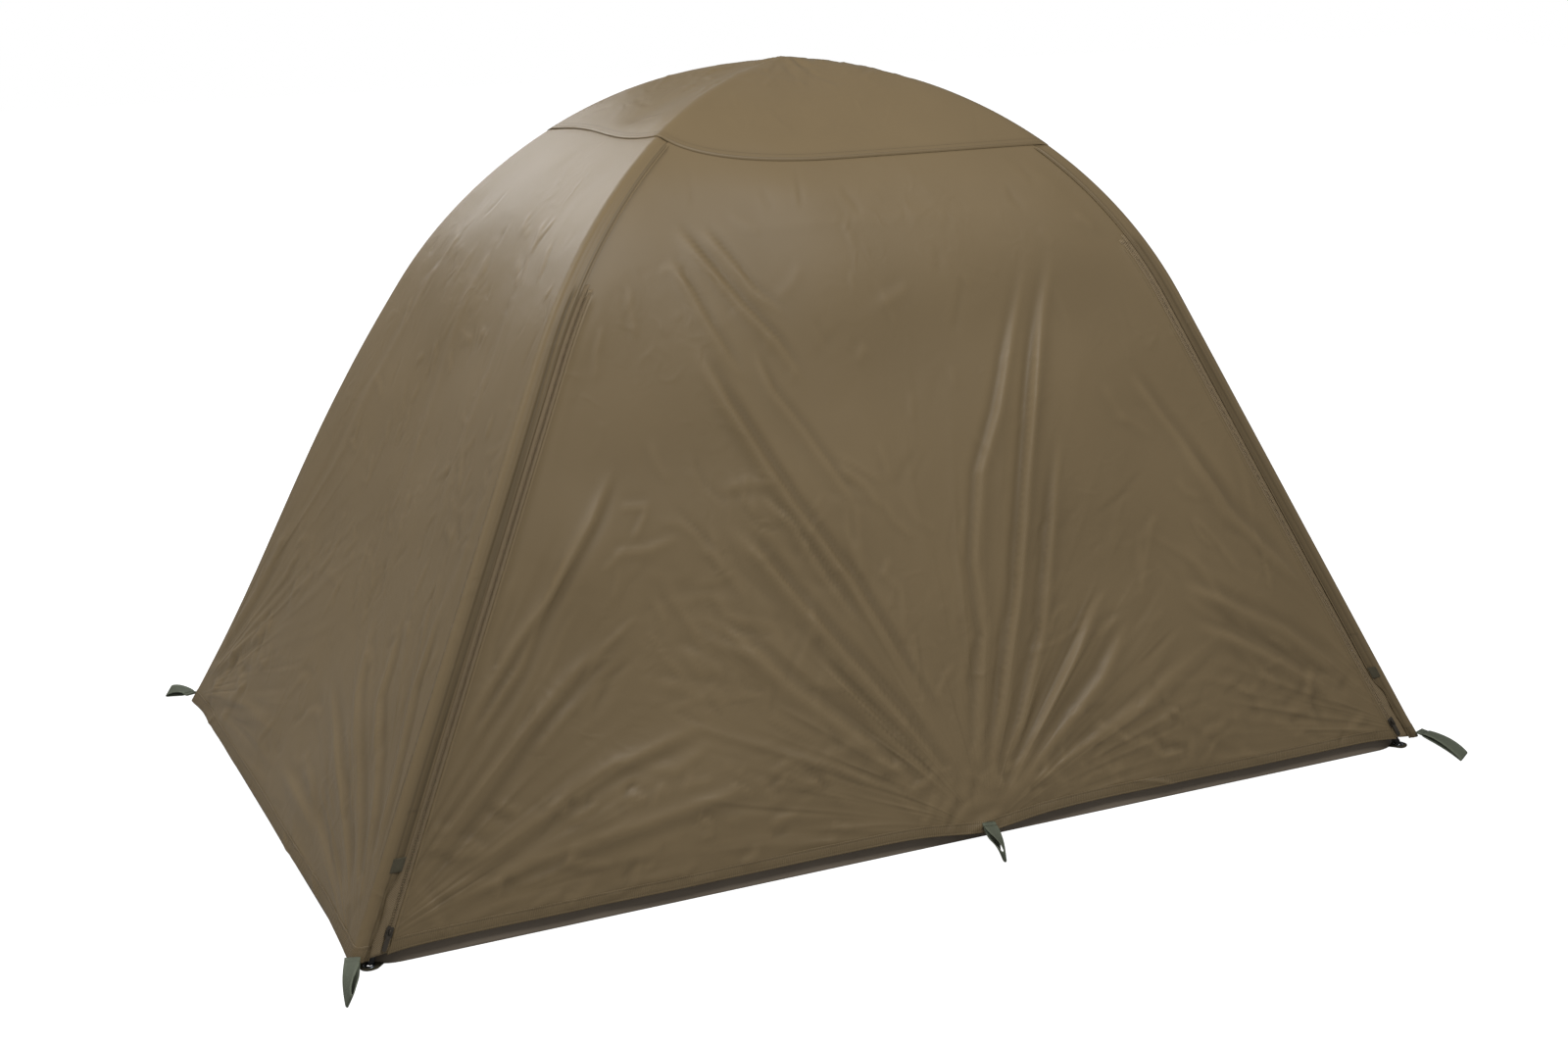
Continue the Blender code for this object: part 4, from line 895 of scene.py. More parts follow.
def pole_piece(name, line, mirror, along, radii, sides, surface, slot, replaced, thickness, caps):
    """A tube or cord through rings round part of a pole's line."""
    across, up, passed, _ = line
    across, up = np.interp(along, passed, across), np.interp(along, passed, up)
    centres = bowed(np.column_stack([mirror * across * WIDTH / 2 / REACH,
                                     across * DEPTH / 2 / REACH, up]))
    ahead = np.gradient(centres, axis=0)
    ahead /= np.linalg.norm(ahead, axis=1)[:, None]
    beside = np.array([-DEPTH / 2 / REACH, mirror * WIDTH / 2 / REACH, 0])
    other = np.cross(ahead, beside)
    turn = np.linspace(0, 2 * pi, sides + 1)[:-1]
    ring = np.cos(turn)[None, :, None] * beside + np.sin(turn)[None, :, None] * other[:, None, :]
    rings = centres[:, None, :] + ring * np.asarray(radii)[:, None, None]
    uv = uv_map(along[:, None], np.linspace(0, 0.026 if sides > 8 else 0.0078, sides)[None, :])
    grid_piece(name, rings, uv, surface, "shelter", slot, replaced, thickness=thickness,
               closed=True, caps=caps)


def pole(name, inset, mirror):
    line = pole_line(inset)
    start = FOOT_PIN_LENGTH + FOOT_FLOOR + FIT
    end = line[2][-1] - start
    section = (end - start) / POLE_SECTIONS
    for index in range(POLE_SECTIONS):
        low = start + section * index + FIT / 2 + (SHOULDER_LENGTH if index else 0)
        high = start + section * (index + 1) - FIT / 2
        along = np.concatenate([[low, low + 0.0004], np.linspace(low + 0.004, high - 0.004, 34),
                                [high - 0.0004, high]])
        radii = np.full(len(along), POLE_RADIUS)
        radii[[0, -1]] -= 0.0002
        if index < POLE_SECTIONS - 1:
            spigot = np.array([0.0003, SHOULDER_LENGTH, 0.012, 0.024, SPIGOT_LENGTH - 0.001,
                               SPIGOT_LENGTH])
            along = np.concatenate([along, high + spigot])
            radii = np.concatenate([radii, [SPIGOT_RADIUS + 0.0006] + [SPIGOT_RADIUS] * 4
                                    + [SPIGOT_RADIUS - 0.0003]])
        pole_piece(f"{name}_pole_tube_{index + 1}", line, mirror, along, radii, 20, TUBE,
                   "pole_tube", f"{name}_pole_section_{index + 1}", POLE_WALL, False)
    pole_piece(f"{name}_pole_shock_cord", line, mirror, np.linspace(start, end, CORD_STEPS),
               np.full(CORD_STEPS, CORD_RADIUS), 8, CORD, "shock_cord", f"{name}_pole_cord", 0,
               True)


def pole_foot(corner, side_x, side_y):
    tilt = pole_line(corner_inset(side_x, side_y))[3]
    inward = Vector((-side_x * WIDTH / 2, -side_y * DEPTH / 2, 0)).normalized()
    up = inward * cos(tilt) + Vector((0, 0, sin(tilt)))
    place = -inward * (REACH - POLE_FOOT_INSET) + Vector((0, 0, POLE_TIP_RISE))
    matrix = Matrix.Translation(place) @ up.to_track_quat("Z", "Y").to_matrix().to_4x4()
    floor = FOOT_PIN_LENGTH + FOOT_FLOOR
    top = floor + FOOT_SOCKET
    socket = POLE_RADIUS + FIT
    profile = [(socket, top - 0.0004), (socket + 0.0004, top), (FOOT_RADIUS - 0.0003, top),
               (FOOT_RADIUS, top - 0.0004)]
    for low in top - 0.004 - 0.0034 * np.arange(3):
        profile += [(FOOT_RADIUS, low + 0.0010), (FOOT_GROOVE, low + 0.0006),
                    (FOOT_GROOVE, low - 0.0006), (FOOT_RADIUS, low - 0.0010)]
    profile += [(FOOT_RADIUS, 0.0092), (FOOT_COLLAR, 0.0086), (FOOT_COLLAR, 0.0062),
                (FOOT_COLLAR - 0.0004, FOOT_PIN_LENGTH), (FOOT_PIN_RADIUS, FOOT_PIN_LENGTH),
                (FOOT_PIN_RADIUS, 0.0006), (FOOT_PIN_RADIUS - 0.0006, 0), (0, 0), (0, floor),
                (socket, floor)]
    turned_piece(f"{corner}_moulded_foot", profile, matrix, PLASTIC, "shelter", "black_plastic",
                 f"{corner}_pole_foot")


pole("upper", UPPER_INSET, 1)
pole("lower", LOWER_INSET, -1)
for corner, sides in CORNERS.items():
    pole_foot(corner, *sides)


# The pole sleeves: a strip of fly cloth sewn inside each ridge on both its sides, which
# hangs round the pole as a gutter. A webbing bridge sewn to the roof carries the crossing.

SLEEVE_FOOT = 0.30
SLEEVE_SPREAD = 0.034
SLEEVE_END = 0.125
SLEEVE_PLAY = 0.0012
TIE_WIDTH = 0.025
TIE_SPREAD = 0.018
SEWN_DROP = 0.0026              # of a sleeve's sewn edges inside the fly's outer face
ROOF_SEWN_DROP = 0.0050
TIE_HALF = 0.0005               # of the bridge's thickness
TIE_STEPS = 33
BAND_SPREAD = np.array([-1, -0.97, -0.5, 0, 0.5, 0.97, 1, 0.97, 0.5, 0, -0.5, -0.97])
BAND_HIGH = np.array([0, -1, -1, -1, -1, -1, 0, 1, 1, 1, 1, 1])


def pole_depth(inset, up_leg):
    """How far a pole's middle lies inside the ridge, square to it, part way up the leg."""
    across, up, _, tilt = pole_line(inset)
    ridge_x = -REACH + up_leg * cos(LEG_TILT)
    ridge_z = FOOT_RISE + up_leg * sin(LEG_TILT)
    offset = (across[0] - ridge_x) * sin(tilt) - (up[0] - ridge_z) * cos(tilt)
    return offset / cos(tilt - LEG_TILT)


def sleeve(corner, side_x, side_y):
    """A sleeve, its flat-cut sizes and its cut area."""
    inset = corner_inset(side_x, side_y)
    inward = np.array([-side_x * WIDTH / 2, -side_y * DEPTH / 2, 0]) / REACH
    beside = np.array([-inward[1], inward[0], 0])
    faces = [(FRONT if side_y < 0 else BACK, side_x if side_y < 0 else -side_x),
             (LEFT if side_x < 0 else RIGHT, -side_y if side_x < 0 else side_y)]
    stations = [(up * sin(LEG_TILT), LEG_TILT, max(pole_depth(inset, up), inset), SEWN_DROP)
                for up in np.linspace(SLEEVE_FOOT, 1, 46)]
    for angle in np.linspace(LEG_TILT, asin(SLEEVE_END / ROOF_RADIUS), 52)[1:]:
        stations.append((ARC_CENTRE + ROOF_RADIUS * cos(angle), angle, inset, ROOF_SEWN_DROP))
    out = [REACH * float(share_left(station[0])) for station in stations]
    passed = lengths_passed(np.column_stack([[station[0] for station in stations], out]))
    phase = np.random.default_rng(17).uniform(0, 6, 6)
    round_off = POLE_RADIUS + SLEEVE_PLAY
    rows, maps = [], []
    for (rise, angle, depth, drop), reach, done in zip(stations, out, passed):
        place = -inward * reach
        place[2] = FOOT_RISE + rise
        deep = inward * sin(angle) - np.array([0, 0, cos(angle)])
        sewn = []
        for turn, edge in faces:
            spot = edge * (float(half_width(turn, rise)) - SLEEVE_SPREAD)
            point, normal = flat_side(turn, spot, rise)
            sewn.append(point - normal * drop)
        sewn.sort(key=lambda point: (point - place) @ beside)
        reach_in = max(depth + round_off, ((sewn[0] + sewn[1]) / 2 - place) @ deep)
        middle = place + deep * (reach_in - round_off)
        gutter = [middle + round_off * (sin(t) * beside + cos(t) * deep)
                  for t in np.linspace(-pi / 2, pi / 2, 9)]
        row = [sewn[0] + (gutter[0] - sewn[0]) * t for t in (0, 0.25, 0.5, 0.75)]
        row += gutter + [gutter[-1] + (sewn[1] - gutter[-1]) * t for t in (0.25, 0.5, 0.75, 1)]
        row = np.array(row)
        sway = np.sin(np.linspace(0, pi, len(row)))
        slack = 0.0009 * (np.sin(done * 70 + phase[0]) + np.sin(done * 113 + phase[1]))
        row += deep * (sway * abs(slack))[:, None]
        rows.append(row)
        maps.append(np.column_stack([np.full(len(row), done), lengths_passed(row)]))
    uv = np.array(maps)
    made = grid_piece(f"{corner}_sleeve_cloth", bowed(np.array(rows)), uv, FLY, "shelter",
                      "fly_cloth", f"{corner}_sleeve")
    widths, long = uv[:, -1, 1], float(passed[-1])
    return made, (float(widths.max()), long), float(widths.mean()) * long


def crossing_bridge():
    """Webbing that dips under the crossing, as a closed bar with soft edges."""
    under = FOOT_RISE + APEX_RISE - LOWER_INSET - POLE_RADIUS - SLEEVE_PLAY
    reach = 2 * TIE_SPREAD * REACH / (DEPTH / 2)
    sewn = FOOT_RISE + ARC_CENTRE + sqrt(ROOF_RADIUS ** 2 - reach ** 2) - ROOF_SEWN_DROP
    y = np.linspace(-2 * TIE_SPREAD, 2 * TIE_SPREAD, TIE_STEPS)
    dip = eased((np.abs(y) - 0.55 * TIE_SPREAD) / (1.4 * TIE_SPREAD))
    centres = np.column_stack([np.zeros_like(y), y, under + (sewn - under) * dip - TIE_HALF])
    ahead = np.gradient(centres, axis=0)
    ahead /= np.linalg.norm(ahead, axis=1)[:, None]
    across = np.tile([1.0, 0, 0], (len(y), 1))
    off = np.cross(across, ahead)
    spread = BAND_SPREAD * TIE_WIDTH / 2
    points = (centres[:, None, :] + across[:, None, :] * spread[None, :, None]
              + off[:, None, :] * (BAND_HIGH * TIE_HALF)[None, :, None])
    made = grid_piece("crossing_bridge", points,
                      uv_map(lengths_passed(centres)[:, None], spread[None, :]), WEBBING,
                      "shelter", "webbing", "crossing_tie", thickness=0, closed=True, caps=True)
    face_out(made)


sleeves = [sleeve(corner, *sides) for corner, sides in CORNERS.items()]
crossing_bridge()


# The side panels. Each is one cut that covers a short side and wraps over both its ridges
# as a strip 4 cm wide, whose outer edge is turned under and stands proud over the zip.

RIDGE_ROUND = 0.012
PANEL_TOP = 0.012
PANEL_ROWS = 172
SIDE_COLUMNS = 150
ZIP_TOP_RISE = FOLD_RISE + 0.128
STORM_TAB_RISE = 0.128
STRIP_STEPS = np.array([0.0386, 0.0374, 0.036, 0.0343, 0.0325, 0.0304, 0.0282, 0.026, 0.0238,
                        0.0215, 0.0192, 0.0168, 0.0144, RIDGE_ROUND])
STRIP_ROWS = (0.028, 0.034)     # insets of the two seams that sew a strip down
STRIP_TUCK = 0.0036             # by which it dips under the roof cap
STRIP_DIP_START = 0.018
STRIP_HALF_WAVES = 6.2          # across a strip
FOOT_FOLDS = (
    # middle, width and height of each fold along a front strip's loose foot
    (0.0205, 0.0048, 0.0032), (0.030, 0.0040, -0.0020), (0.0360, 0.0016, 0.0010))
SIDE_TUCK = 0.0024
SIDE_STRETCH = 1.12             # length along the cloth for each length of rise
LONG_STRETCH = 1.13
EDGE_COLUMNS = 7


def hump(value, middle, width):
    return np.exp(-((value - middle) / width) ** 2)


def strip_form(face, edge, inset, rise):
    """How far a strip stands off the side that it lies on, and its tone, which holds painted shade
    and a painted highlight.
    """
    across = edge * (1 - inset / half_width(face, rise))
    under = under_cap(face, across, rise, STRIP_DIP_START)
    swing = np.sin(inset / STRIP_WIDTH * STRIP_HALF_WAVES * pi + 0.9 * np.sin(rise * 6))
    bands = (0.0006 if face == BACK else 0.0011) * swing * eased((inset - RIDGE_ROUND) / 0.008)
    valley = np.clip(-swing, 0, 1) ** 2 * eased((inset - 0.013) / 0.004)
    sunk = sum(hump(inset, row, 0.0014) for row in STRIP_ROWS)
    sewn = 0.5 * bands + 0.0016 * eased((inset - 0.013) / 0.012) - 0.0008 * sunk
    # Painted shade along the sunk seam rows.
    sewn_shading = 0.97 - 0.22 * sunk * (inset > 0.02)
    if face == BACK:
        return (1 - under) * sewn - STRIP_TUCK * under, sewn_shading
    low = eased((0.96 - rise) / 0.30)
    foot = eased((STORM_TAB_RISE - 0.008 - rise) / 0.03)
    fold = sum(height * hump(inset, middle, width) for middle, width, height in FOOT_FOLDS)
    loose = bands + 0.0026 * eased((inset - 0.022) / 0.014) + low * fold
    loose = loose - 0.0010 * eased((inset - 0.0366) / 0.0020)
    rumple = np.sin(rise * 190 + inset * 240) + 0.7 * np.sin(rise * 121 - inset * 330 + 1.0)
    loose = loose + foot * 0.0010 * rumple * eased((inset - RIDGE_ROUND) / 0.010)
    # Painted shade in the valleys between the bands and in the hollow fold at the foot, on a base
    # darkened for the doubled cloth and for painted shade, and a painted highlight on the folded
    # edge.
    loose_shading = 0.84 - 0.24 * valley - 0.12 * low * hump(inset, 0.030, 0.0045)
    loose_shading = loose_shading + 0.10 * hump(inset, 0.0366, 0.0014)
    held = eased((rise - ZIP_TOP_RISE + 0.012) / 0.03)
    shade = eased((inset - 0.011) / 0.004)
    tone = 1 + shade * ((1 - held) * loose_shading + held * sewn_shading - 1)
    return (1 - under) * ((1 - held) * loose + held * sewn) - STRIP_TUCK * under, tone


def strip_inset(face, inset, rise):
    """Below its storm tab a front strip draws back from the zip."""
    if face == BACK:
        return inset
    foot = eased((STORM_TAB_RISE - 0.010 - rise) / 0.035)
    drawn = (0.26 + 0.04 * np.sin(rise * 90)) * foot * eased((inset - 0.013) / 0.027)
    return inset * (1 - drawn)


def line_on_strip(face, edge, inset, rise, lift):
    """A line drawn on a strip, as its places and the way out of the cloth."""
    inset, rise = alike(inset, rise)
    drawn = strip_inset(face, inset, rise)
    point, normal = flat_side(face, edge * (half_width(face, rise) - drawn), rise)
    off = strip_form(face, edge, inset, rise)[0] + lift
    return settled(point + normal * off[..., None]), normal


def nothing_more(along, rise):
    return 0.0


def foot_tone(rise):
    return 1 - 0.07 * eased(1 - rise / 0.06)


def side_sheet(turn, rises, columns, extra=nothing_more):
    """Places, flat-cut places, tones and pulls of a side panel. Rises gives the rows' rises
    for each share of the way to a ridge."""
    blocks = []
    for face, edge, own in (((turn - 1) % 4, 1, -1), ((turn + 1) % 4, -1, 1)):
        edge_rise = rises(turn, np.array([float(own)]))
        share = half_width(turn, edge_rise)
        inset, rise = alike(STRIP_STEPS[None, :], edge_rise)
        drawn = strip_inset(face, inset, rise)
        point, normal = flat_side(face, edge * (half_width(face, rise) - drawn), rise)
        lift, tone = strip_form(face, edge, inset, rise)
        strip = point + normal * (lift + extra(inset, rise))[..., None]
        inner, normal = flat_side(turn, own * (share - RIDGE_ROUND), edge_rise)
        tuck = SIDE_TUCK * under_cap(turn, own, edge_rise)
        inner = inner + normal * (extra(share, edge_rise) - tuck)[..., None]
        corner, _ = flat_side(turn, own * share, edge_rise)
        part = np.linspace(0, 1, EDGE_COLUMNS + 2)[1:-1][None, :, None]
        bend = (1 - part) ** 2 * strip[:, -1:] + 2 * part * (1 - part) * corner + part ** 2 * inner
        bend_x = share + RIDGE_ROUND - 2 * RIDGE_ROUND * part[..., 0]
        flat_x = own * np.concatenate([share + drawn, bend_x], 1)
        flat_y = np.repeat(edge_rise, flat_x.shape[1], 1) * SIDE_STRETCH
        block = [np.concatenate([strip, bend], 1), np.stack([flat_x, flat_y], -1),
                 np.concatenate([tone, np.ones(bend_x.shape)], 1), np.zeros((*flat_x.shape, 3))]
        blocks.append([item[:, ::-own] for item in block])
    across = np.linspace(-1, 1, columns)
    rise = rises(turn, across)
    along = across * (half_width(turn, rise) - RIDGE_ROUND)
    point, normal = flat_side(turn, along, rise)
    off = side_lift(turn, along, rise) + extra(along, rise)
    main = [point + normal * (off - SIDE_TUCK * under_cap(turn, across, rise))[..., None],
            np.stack([along, rise * SIDE_STRETCH], -1), foot_tone(rise) + fold_shading(off),
            pull_field(turn, along, rise)]
    points, uv, tone, pull = (np.concatenate(row, 1) for row in zip(blocks[0], main, blocks[1]))
    return settled(points), uv, tone, pull


def panel_rises(turn, across):
    high = seam_rise(turn, across) + PANEL_TOP
    return high[None, :] * np.linspace(0, 1, PANEL_ROWS)[:, None]


for turn in (LEFT, RIGHT):
    side = SIDE_NAMES[turn]
    points, uv, tone, pull = side_sheet(turn, panel_rises, SIDE_COLUMNS)
    grid_piece(f"{side}_side_cloth", points, uv, FLY, "shelter", "fly_cloth",
                                   f"{side}_panel", tone=tone, pull=pull)


# The long sides: the back panel, and the front, which is one cloth with the door. The
# front hangs between the strips.

LONG_COLUMNS = 236
EDGE_STEPS = np.array([0.0, 0.0025, 0.005, 0.008, 0.012, 0.017, 0.023])
EDGE_ROOM = 0.030
DOOR_INSET = 0.0564
SEWN_INSET = 0.030
UNDER_STRIP = 0.0012


def long_edge_inset(turn, rise):
    """Where a long side's cut ends beside the ridge: under the strip, or at the zip."""
    if turn == BACK:
        return np.full_like(rise, SEWN_INSET)
    return DOOR_INSET - (DOOR_INSET - SEWN_INSET) * eased((rise - ZIP_TOP_RISE + 0.004) / 0.022)


def long_edge_lift(turn, room, rise):
    """The door's edge is turned under over the zip's tape, and stands proud of it."""
    if turn == BACK:
        return np.full_like(rise, -UNDER_STRIP)
    beside_zip = eased((ZIP_TOP_RISE - rise) / 0.02)
    folded = 0.0021 * (1 - eased(room / 0.016)) - 0.0010 * (1 - eased(room / 0.003))
    return beside_zip * folded - 0.0004 * (1 - beside_zip) * (1 - eased(room / 0.02))


def long_sheet(turn, rises, columns, extra=nothing_more):
    """Places, flat-cut places, tones and pulls of a long side."""
    ends = np.ones(len(EDGE_STEPS))
    across = np.concatenate([-ends, np.linspace(-1, 1, columns), ends])
    inner = np.concatenate([EDGE_STEPS, np.full(columns, EDGE_ROOM), EDGE_STEPS[::-1]])
    rise = rises(turn, across)
    width = half_width(turn, rise) - long_edge_inset(turn, rise)
    along = across * (width - inner)
    room = width - np.abs(along)
    point, normal = flat_side(turn, along, rise)
    folds = side_lift(turn, along, rise)
    off = folds + long_edge_lift(turn, room, rise) + extra(along, rise)
    off = off - SIDE_TUCK * under_cap(turn, across, rise)
    return (settled(point + normal * off[..., None]), np.stack([along, rise * LONG_STRETCH], -1),
            foot_tone(rise) + fold_shading(folds), pull_field(turn, along, rise))


points, uv, tone, pull = long_sheet(BACK, panel_rises, LONG_COLUMNS)
back_cloth = grid_piece("back_cloth", points, uv, FLY, "shelter", "fly_cloth", "back_panel",
                        tone=tone, pull=pull)
points, uv, tone, pull = long_sheet(FRONT, panel_rises, LONG_COLUMNS)
front_cloth = grid_piece("front_cloth", points, uv, FLY, None, "fly_cloth", tone=tone, pull=pull)
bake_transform(front_cloth)
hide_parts("front_header", "door_panel")


# The roof cap: one four-cornered piece over the crossing, sewn down over the four sides.
# It is tight along the poles, sags between them and is puckered to a low peak on top.

CAP_COLUMNS = 190
CAP_ROWS = 120
CAP_LAP = 0.008
CAP_SOFT = 0.045
CAP_STAND = 0.0013
CAP_SEAMS = (0.985, 0.968)      # shares of the way to the cap's edge
CAP_TUFT = (
    # folds round the peak, their phase and height, and the ring's middle and width
    (0, pi / 2, 0.0050, 0, 0.034), (7, 1.0, 0.0016, 0.035, 0.022), (11, 0, 0.0011, 0.060, 0.026))
CAP_CRINKLES = (
    # seed, count, box, length, height and width
    (52, 120, (-0.20, -0.12, 0.20, 0.12), 0.05, 0.0016, 0.007),
    (53, 90, (-0.42, -0.25, 0.42, 0.25), 0.06, 0.0009, 0.008),
)


def cap_surface(across, up):
    """Places on the cap for shares of the way to its edges, from -1 to 1."""
    edge = np.maximum(np.abs(across), np.abs(up))
    safe = np.maximum(edge, 1e-6)
    ratio = np.minimum(np.abs(across), np.abs(up)) / safe
    on_long = np.abs(up) > np.abs(across)
    long_seam = np.where(up < 0, seam_rise(FRONT, across / safe), seam_rise(BACK, -across / safe))
    short_seam = np.where(across > 0, seam_rise(RIGHT, up / safe), seam_rise(LEFT, -up / safe))
    full = share_left(np.where(on_long, long_seam, short_seam) - CAP_LAP)
    near = np.maximum(CAP_SOFT - np.abs(np.abs(across) - np.abs(up)), 0) / CAP_SOFT
    share = full * (edge + near ** 2 * CAP_SOFT / 4 * eased(edge / 0.12))
    x, y = full * across * WIDTH / 2, full * up * DEPTH / 2
    z = FOOT_RISE + ARC_CENTRE + np.sqrt(np.maximum(ROOF_RADIUS ** 2 - (REACH * share) ** 2, 0))
    sag = np.where(on_long, -0.010, -0.007) * eased((1 - ratio) / 0.9)
    sag = sag * np.sin(np.clip(edge, 0, 1) * pi)
    sag = sag + waves(x, y, 51, 0.09, 0.32, 0.0026) * eased((1 - ratio) / 0.25)
    for seed, count, box, length, high, width in CAP_CRINKLES:
        sag = sag + crinkles(x, y, seed, count, box, lambda a, b: atan2(b, a) * 0.4, 0.9, length,
                             high, width) * eased((1 - ratio) / 0.12)
    around, away = np.arctan2(y, x), np.hypot(x, y)
    tuft = sum(height * np.sin(folds * around + phase) * hump(away, middle, width)
               for folds, phase, height, middle, width in CAP_TUFT)
    sag = (sag + tuft) * eased((1 - edge) / 0.14)
    return bowed(np.stack([x, y, z + CAP_STAND + sag], -1))


def roof_cap():
    across, up = np.meshgrid(np.linspace(-1, 1, CAP_COLUMNS), np.linspace(-1, 1, CAP_ROWS))
    points = cap_surface(across, up)
    edge = np.maximum(np.abs(across), np.abs(up))
    # Painted shade: the cap is darker along its two seam rows.
    tone = 1 - 0.05 * sum(hump(edge, seam, 0.005) for seam in CAP_SEAMS)
    return grid_piece("roof_cap_cloth", points, points[..., :2], FLY, "shelter", "fly_cloth",
                      "roof_cap", tone=tone)


cap_cloth = roof_cap()


# The hems: the cloth turned up 2 cm round the foot and sewn twice, puckered by its seams.
# The door's hem rides with the door.

HEM_RISES = np.array([0.0, 0.0012, 0.0028, 0.004, 0.0052, 0.0075, 0.010, 0.0125, 0.0148, 0.016,
                      0.0172, 0.0188, 0.020])
HEM_ROWS = (0.004, 0.016)
HEM_STAND = 0.0012
HEM_BODIES = {"left": (LEFT, "shelter"), "right": (RIGHT, "shelter"), "back": (BACK, "shelter"),
              "door": (FRONT, "door")}
SIDE_HEM_COLUMNS = 420
LONG_HEM_COLUMNS = 640
HEM = cloth_finish("hem_cloth", FLY_COLOUR, FLY_ROUGHNESS, WEAVE_PITCH, 0.7, rib_pitch=0.0036,
                   rib_height=0.0006, rib_slant=0.25, rib_shade=0.14)


def hem_form(along, rise):
    """The hem stands off the panel, is drawn in by its seams and puckers between them."""
    sunk = sum(hump(rise, row, 0.0011) for row in HEM_ROWS)
    between = eased((rise - 0.004) / 0.003) * eased((0.016 - rise) / 0.003)
    pucker = np.sin(along * 2 * pi / 0.011 + 2.2 * np.sin(along * 31))
    pucker = pucker * (0.6 + 0.4 * np.sin(along * 53))
    ends = 0.0007 * (1 - eased(rise / 0.0015)) + 0.0004 * eased((rise - 0.0188) / 0.0012)
    return HEM_STAND - 0.0005 * sunk + 0.00045 * pucker * between - ends


def hem_rises(turn, across):
    return np.repeat(HEM_RISES[:, None], len(across), 1)


for name, (turn, body) in HEM_BODIES.items():
    if turn in (LEFT, RIGHT):
        points, uv, tone, _ = side_sheet(turn, hem_rises, SIDE_HEM_COLUMNS, hem_form)
    else:
        points, uv, tone, _ = long_sheet(turn, hem_rises, LONG_HEM_COLUMNS, hem_form)
    grid_piece(f"{name}_hem_cloth", points, uv, HEM, body, "fly_cloth",
                            f"{name}_hem", tone=tone)


# The zips, one beside each front ridge: two woven tapes, one sewn under the strip and one
# under the door's edge, each with half of a nylon coil along it. The coil's teeth are
# small beads, which a Geometry Nodes tree sets along a line; it makes the stitches too.

TAPE = cloth_finish("zip_tape", (0.250, 0.185, 0.106), 0.62, 0.0007, 0.5, rib_pitch=0.0031,
                    rib_height=0.0005, rib_slant=-0.5, rib_shade=0.30)
COIL = metal_finish("zip_coil", (0.300, 0.224, 0.130), 0.44, 0.0)
THREAD = metal_finish("sewing_thread", (0.098, 0.073, 0.042), 0.62, 0.0)
ZIP_SIDES = {"left": -1, "right": 1}
ZIP_INSET = 0.04819
TAPE_FOOT = 0.003
TAPE_STAND = 0.0007
TAPE_TUCK = 0.0018
TAPE_THICKNESS = 0.0005
TAPE_ROWS, TAPE_COLUMNS = 200, 7
ZIP_HALVES = {
    # the tape's two insets and how far it passes the zip's top, and the coil's way from
    # the zip's line and first rise
    "fly": (0.0350, 0.0479, 0.012, -1, 0.024),
    "door": (0.0484, 0.0624, 0.004, 1, 0.02525),
}
COIL_OFFSET = 0.0017
COIL_DROP = 0.006               # of its end below the zip's top
COIL_LIFT = 0.0015
LINE_STEP = 0.004


def bead_tree():
    """Beads along lines: each turned to its line and to the cloth that it lies on."""
    tree = bpy.data.node_groups.new("beads_along_lines", "GeometryNodeTree")
    sizes = dict.fromkeys(("Pitch", "Along", "Across", "High", "Slant"), "Float")
    for name, kind in {"Lines": "Geometry", **sizes, "Segments": "Int", "Rings": "Int",
                       "Finish": "Material"}.items():
        tree.interface.new_socket(name, in_out="INPUT", socket_type=f"NodeSocket{kind}")
    tree.interface.new_socket("Beads", in_out="OUTPUT", socket_type="NodeSocketGeometry")
    given = node(tree, "NodeGroupInput").outputs
    curve = node(tree, "GeometryNodeMeshToCurve", {0: given["Lines"]})
    spaced = node(tree, "GeometryNodeResampleCurve",
                  {"Curve": curve.outputs[0], "Length": given["Pitch"]}, mode="LENGTH")
    ball = node(tree, "GeometryNodeMeshUVSphere", {
        "Radius": 0.5, "Segments": given["Segments"], "Rings": given["Rings"]})
    size = node(tree, "ShaderNodeCombineXYZ", {
        "X": given["Along"], "Y": given["Across"], "Z": given["High"]})
    stretch = node(tree, "GeometryNodeTransform", {"Geometry": ball.outputs["Mesh"],
                                                   "Scale": size.outputs[0]})
    slant = node(tree, "ShaderNodeCombineXYZ", {"Z": given["Slant"]})
    lean = node(tree, "GeometryNodeTransform", {"Geometry": stretch.outputs[0],
                                                "Rotation": slant.outputs[0]})
    out = node(tree, "GeometryNodeInputNamedAttribute", {"Name": "off_cloth"},
               data_type="FLOAT_VECTOR")
    up = node(tree, "FunctionNodeAlignRotationToVector", {"Vector": out.outputs["Attribute"]},
              axis="Z")
    ahead = node(tree, "GeometryNodeInputTangent")
    turned = node(tree, "FunctionNodeAlignRotationToVector",
                  {"Rotation": up.outputs[0], "Vector": ahead.outputs[0]}, axis="X",
                  pivot_axis="Z")
    placed = node(tree, "GeometryNodeInstanceOnPoints", {
        "Points": spaced.outputs[0], "Instance": lean.outputs[0], "Rotation": turned.outputs[0]})
    real = node(tree, "GeometryNodeRealizeInstances", {0: placed.outputs[0]})
    painted = node(tree, "GeometryNodeSetMaterial", {"Geometry": real.outputs[0],
                                                     "Material": given["Finish"]})
    node(tree, "NodeGroupOutput", {"Beads": painted.outputs[0]})
    return tree


BEADS = bead_tree()
STITCH = {"Pitch": 0.0034, "Along": 0.0025, "Across": 0.0006, "High": 0.0005, "Slant": 0.0,
          "Segments": 5, "Rings": 3}
TOOTH = {"Pitch": 0.0025, "Along": 0.0011, "Across": 0.0042, "High": 0.0019, "Slant": 0.22,
         "Segments": 6, "Rings": 5}


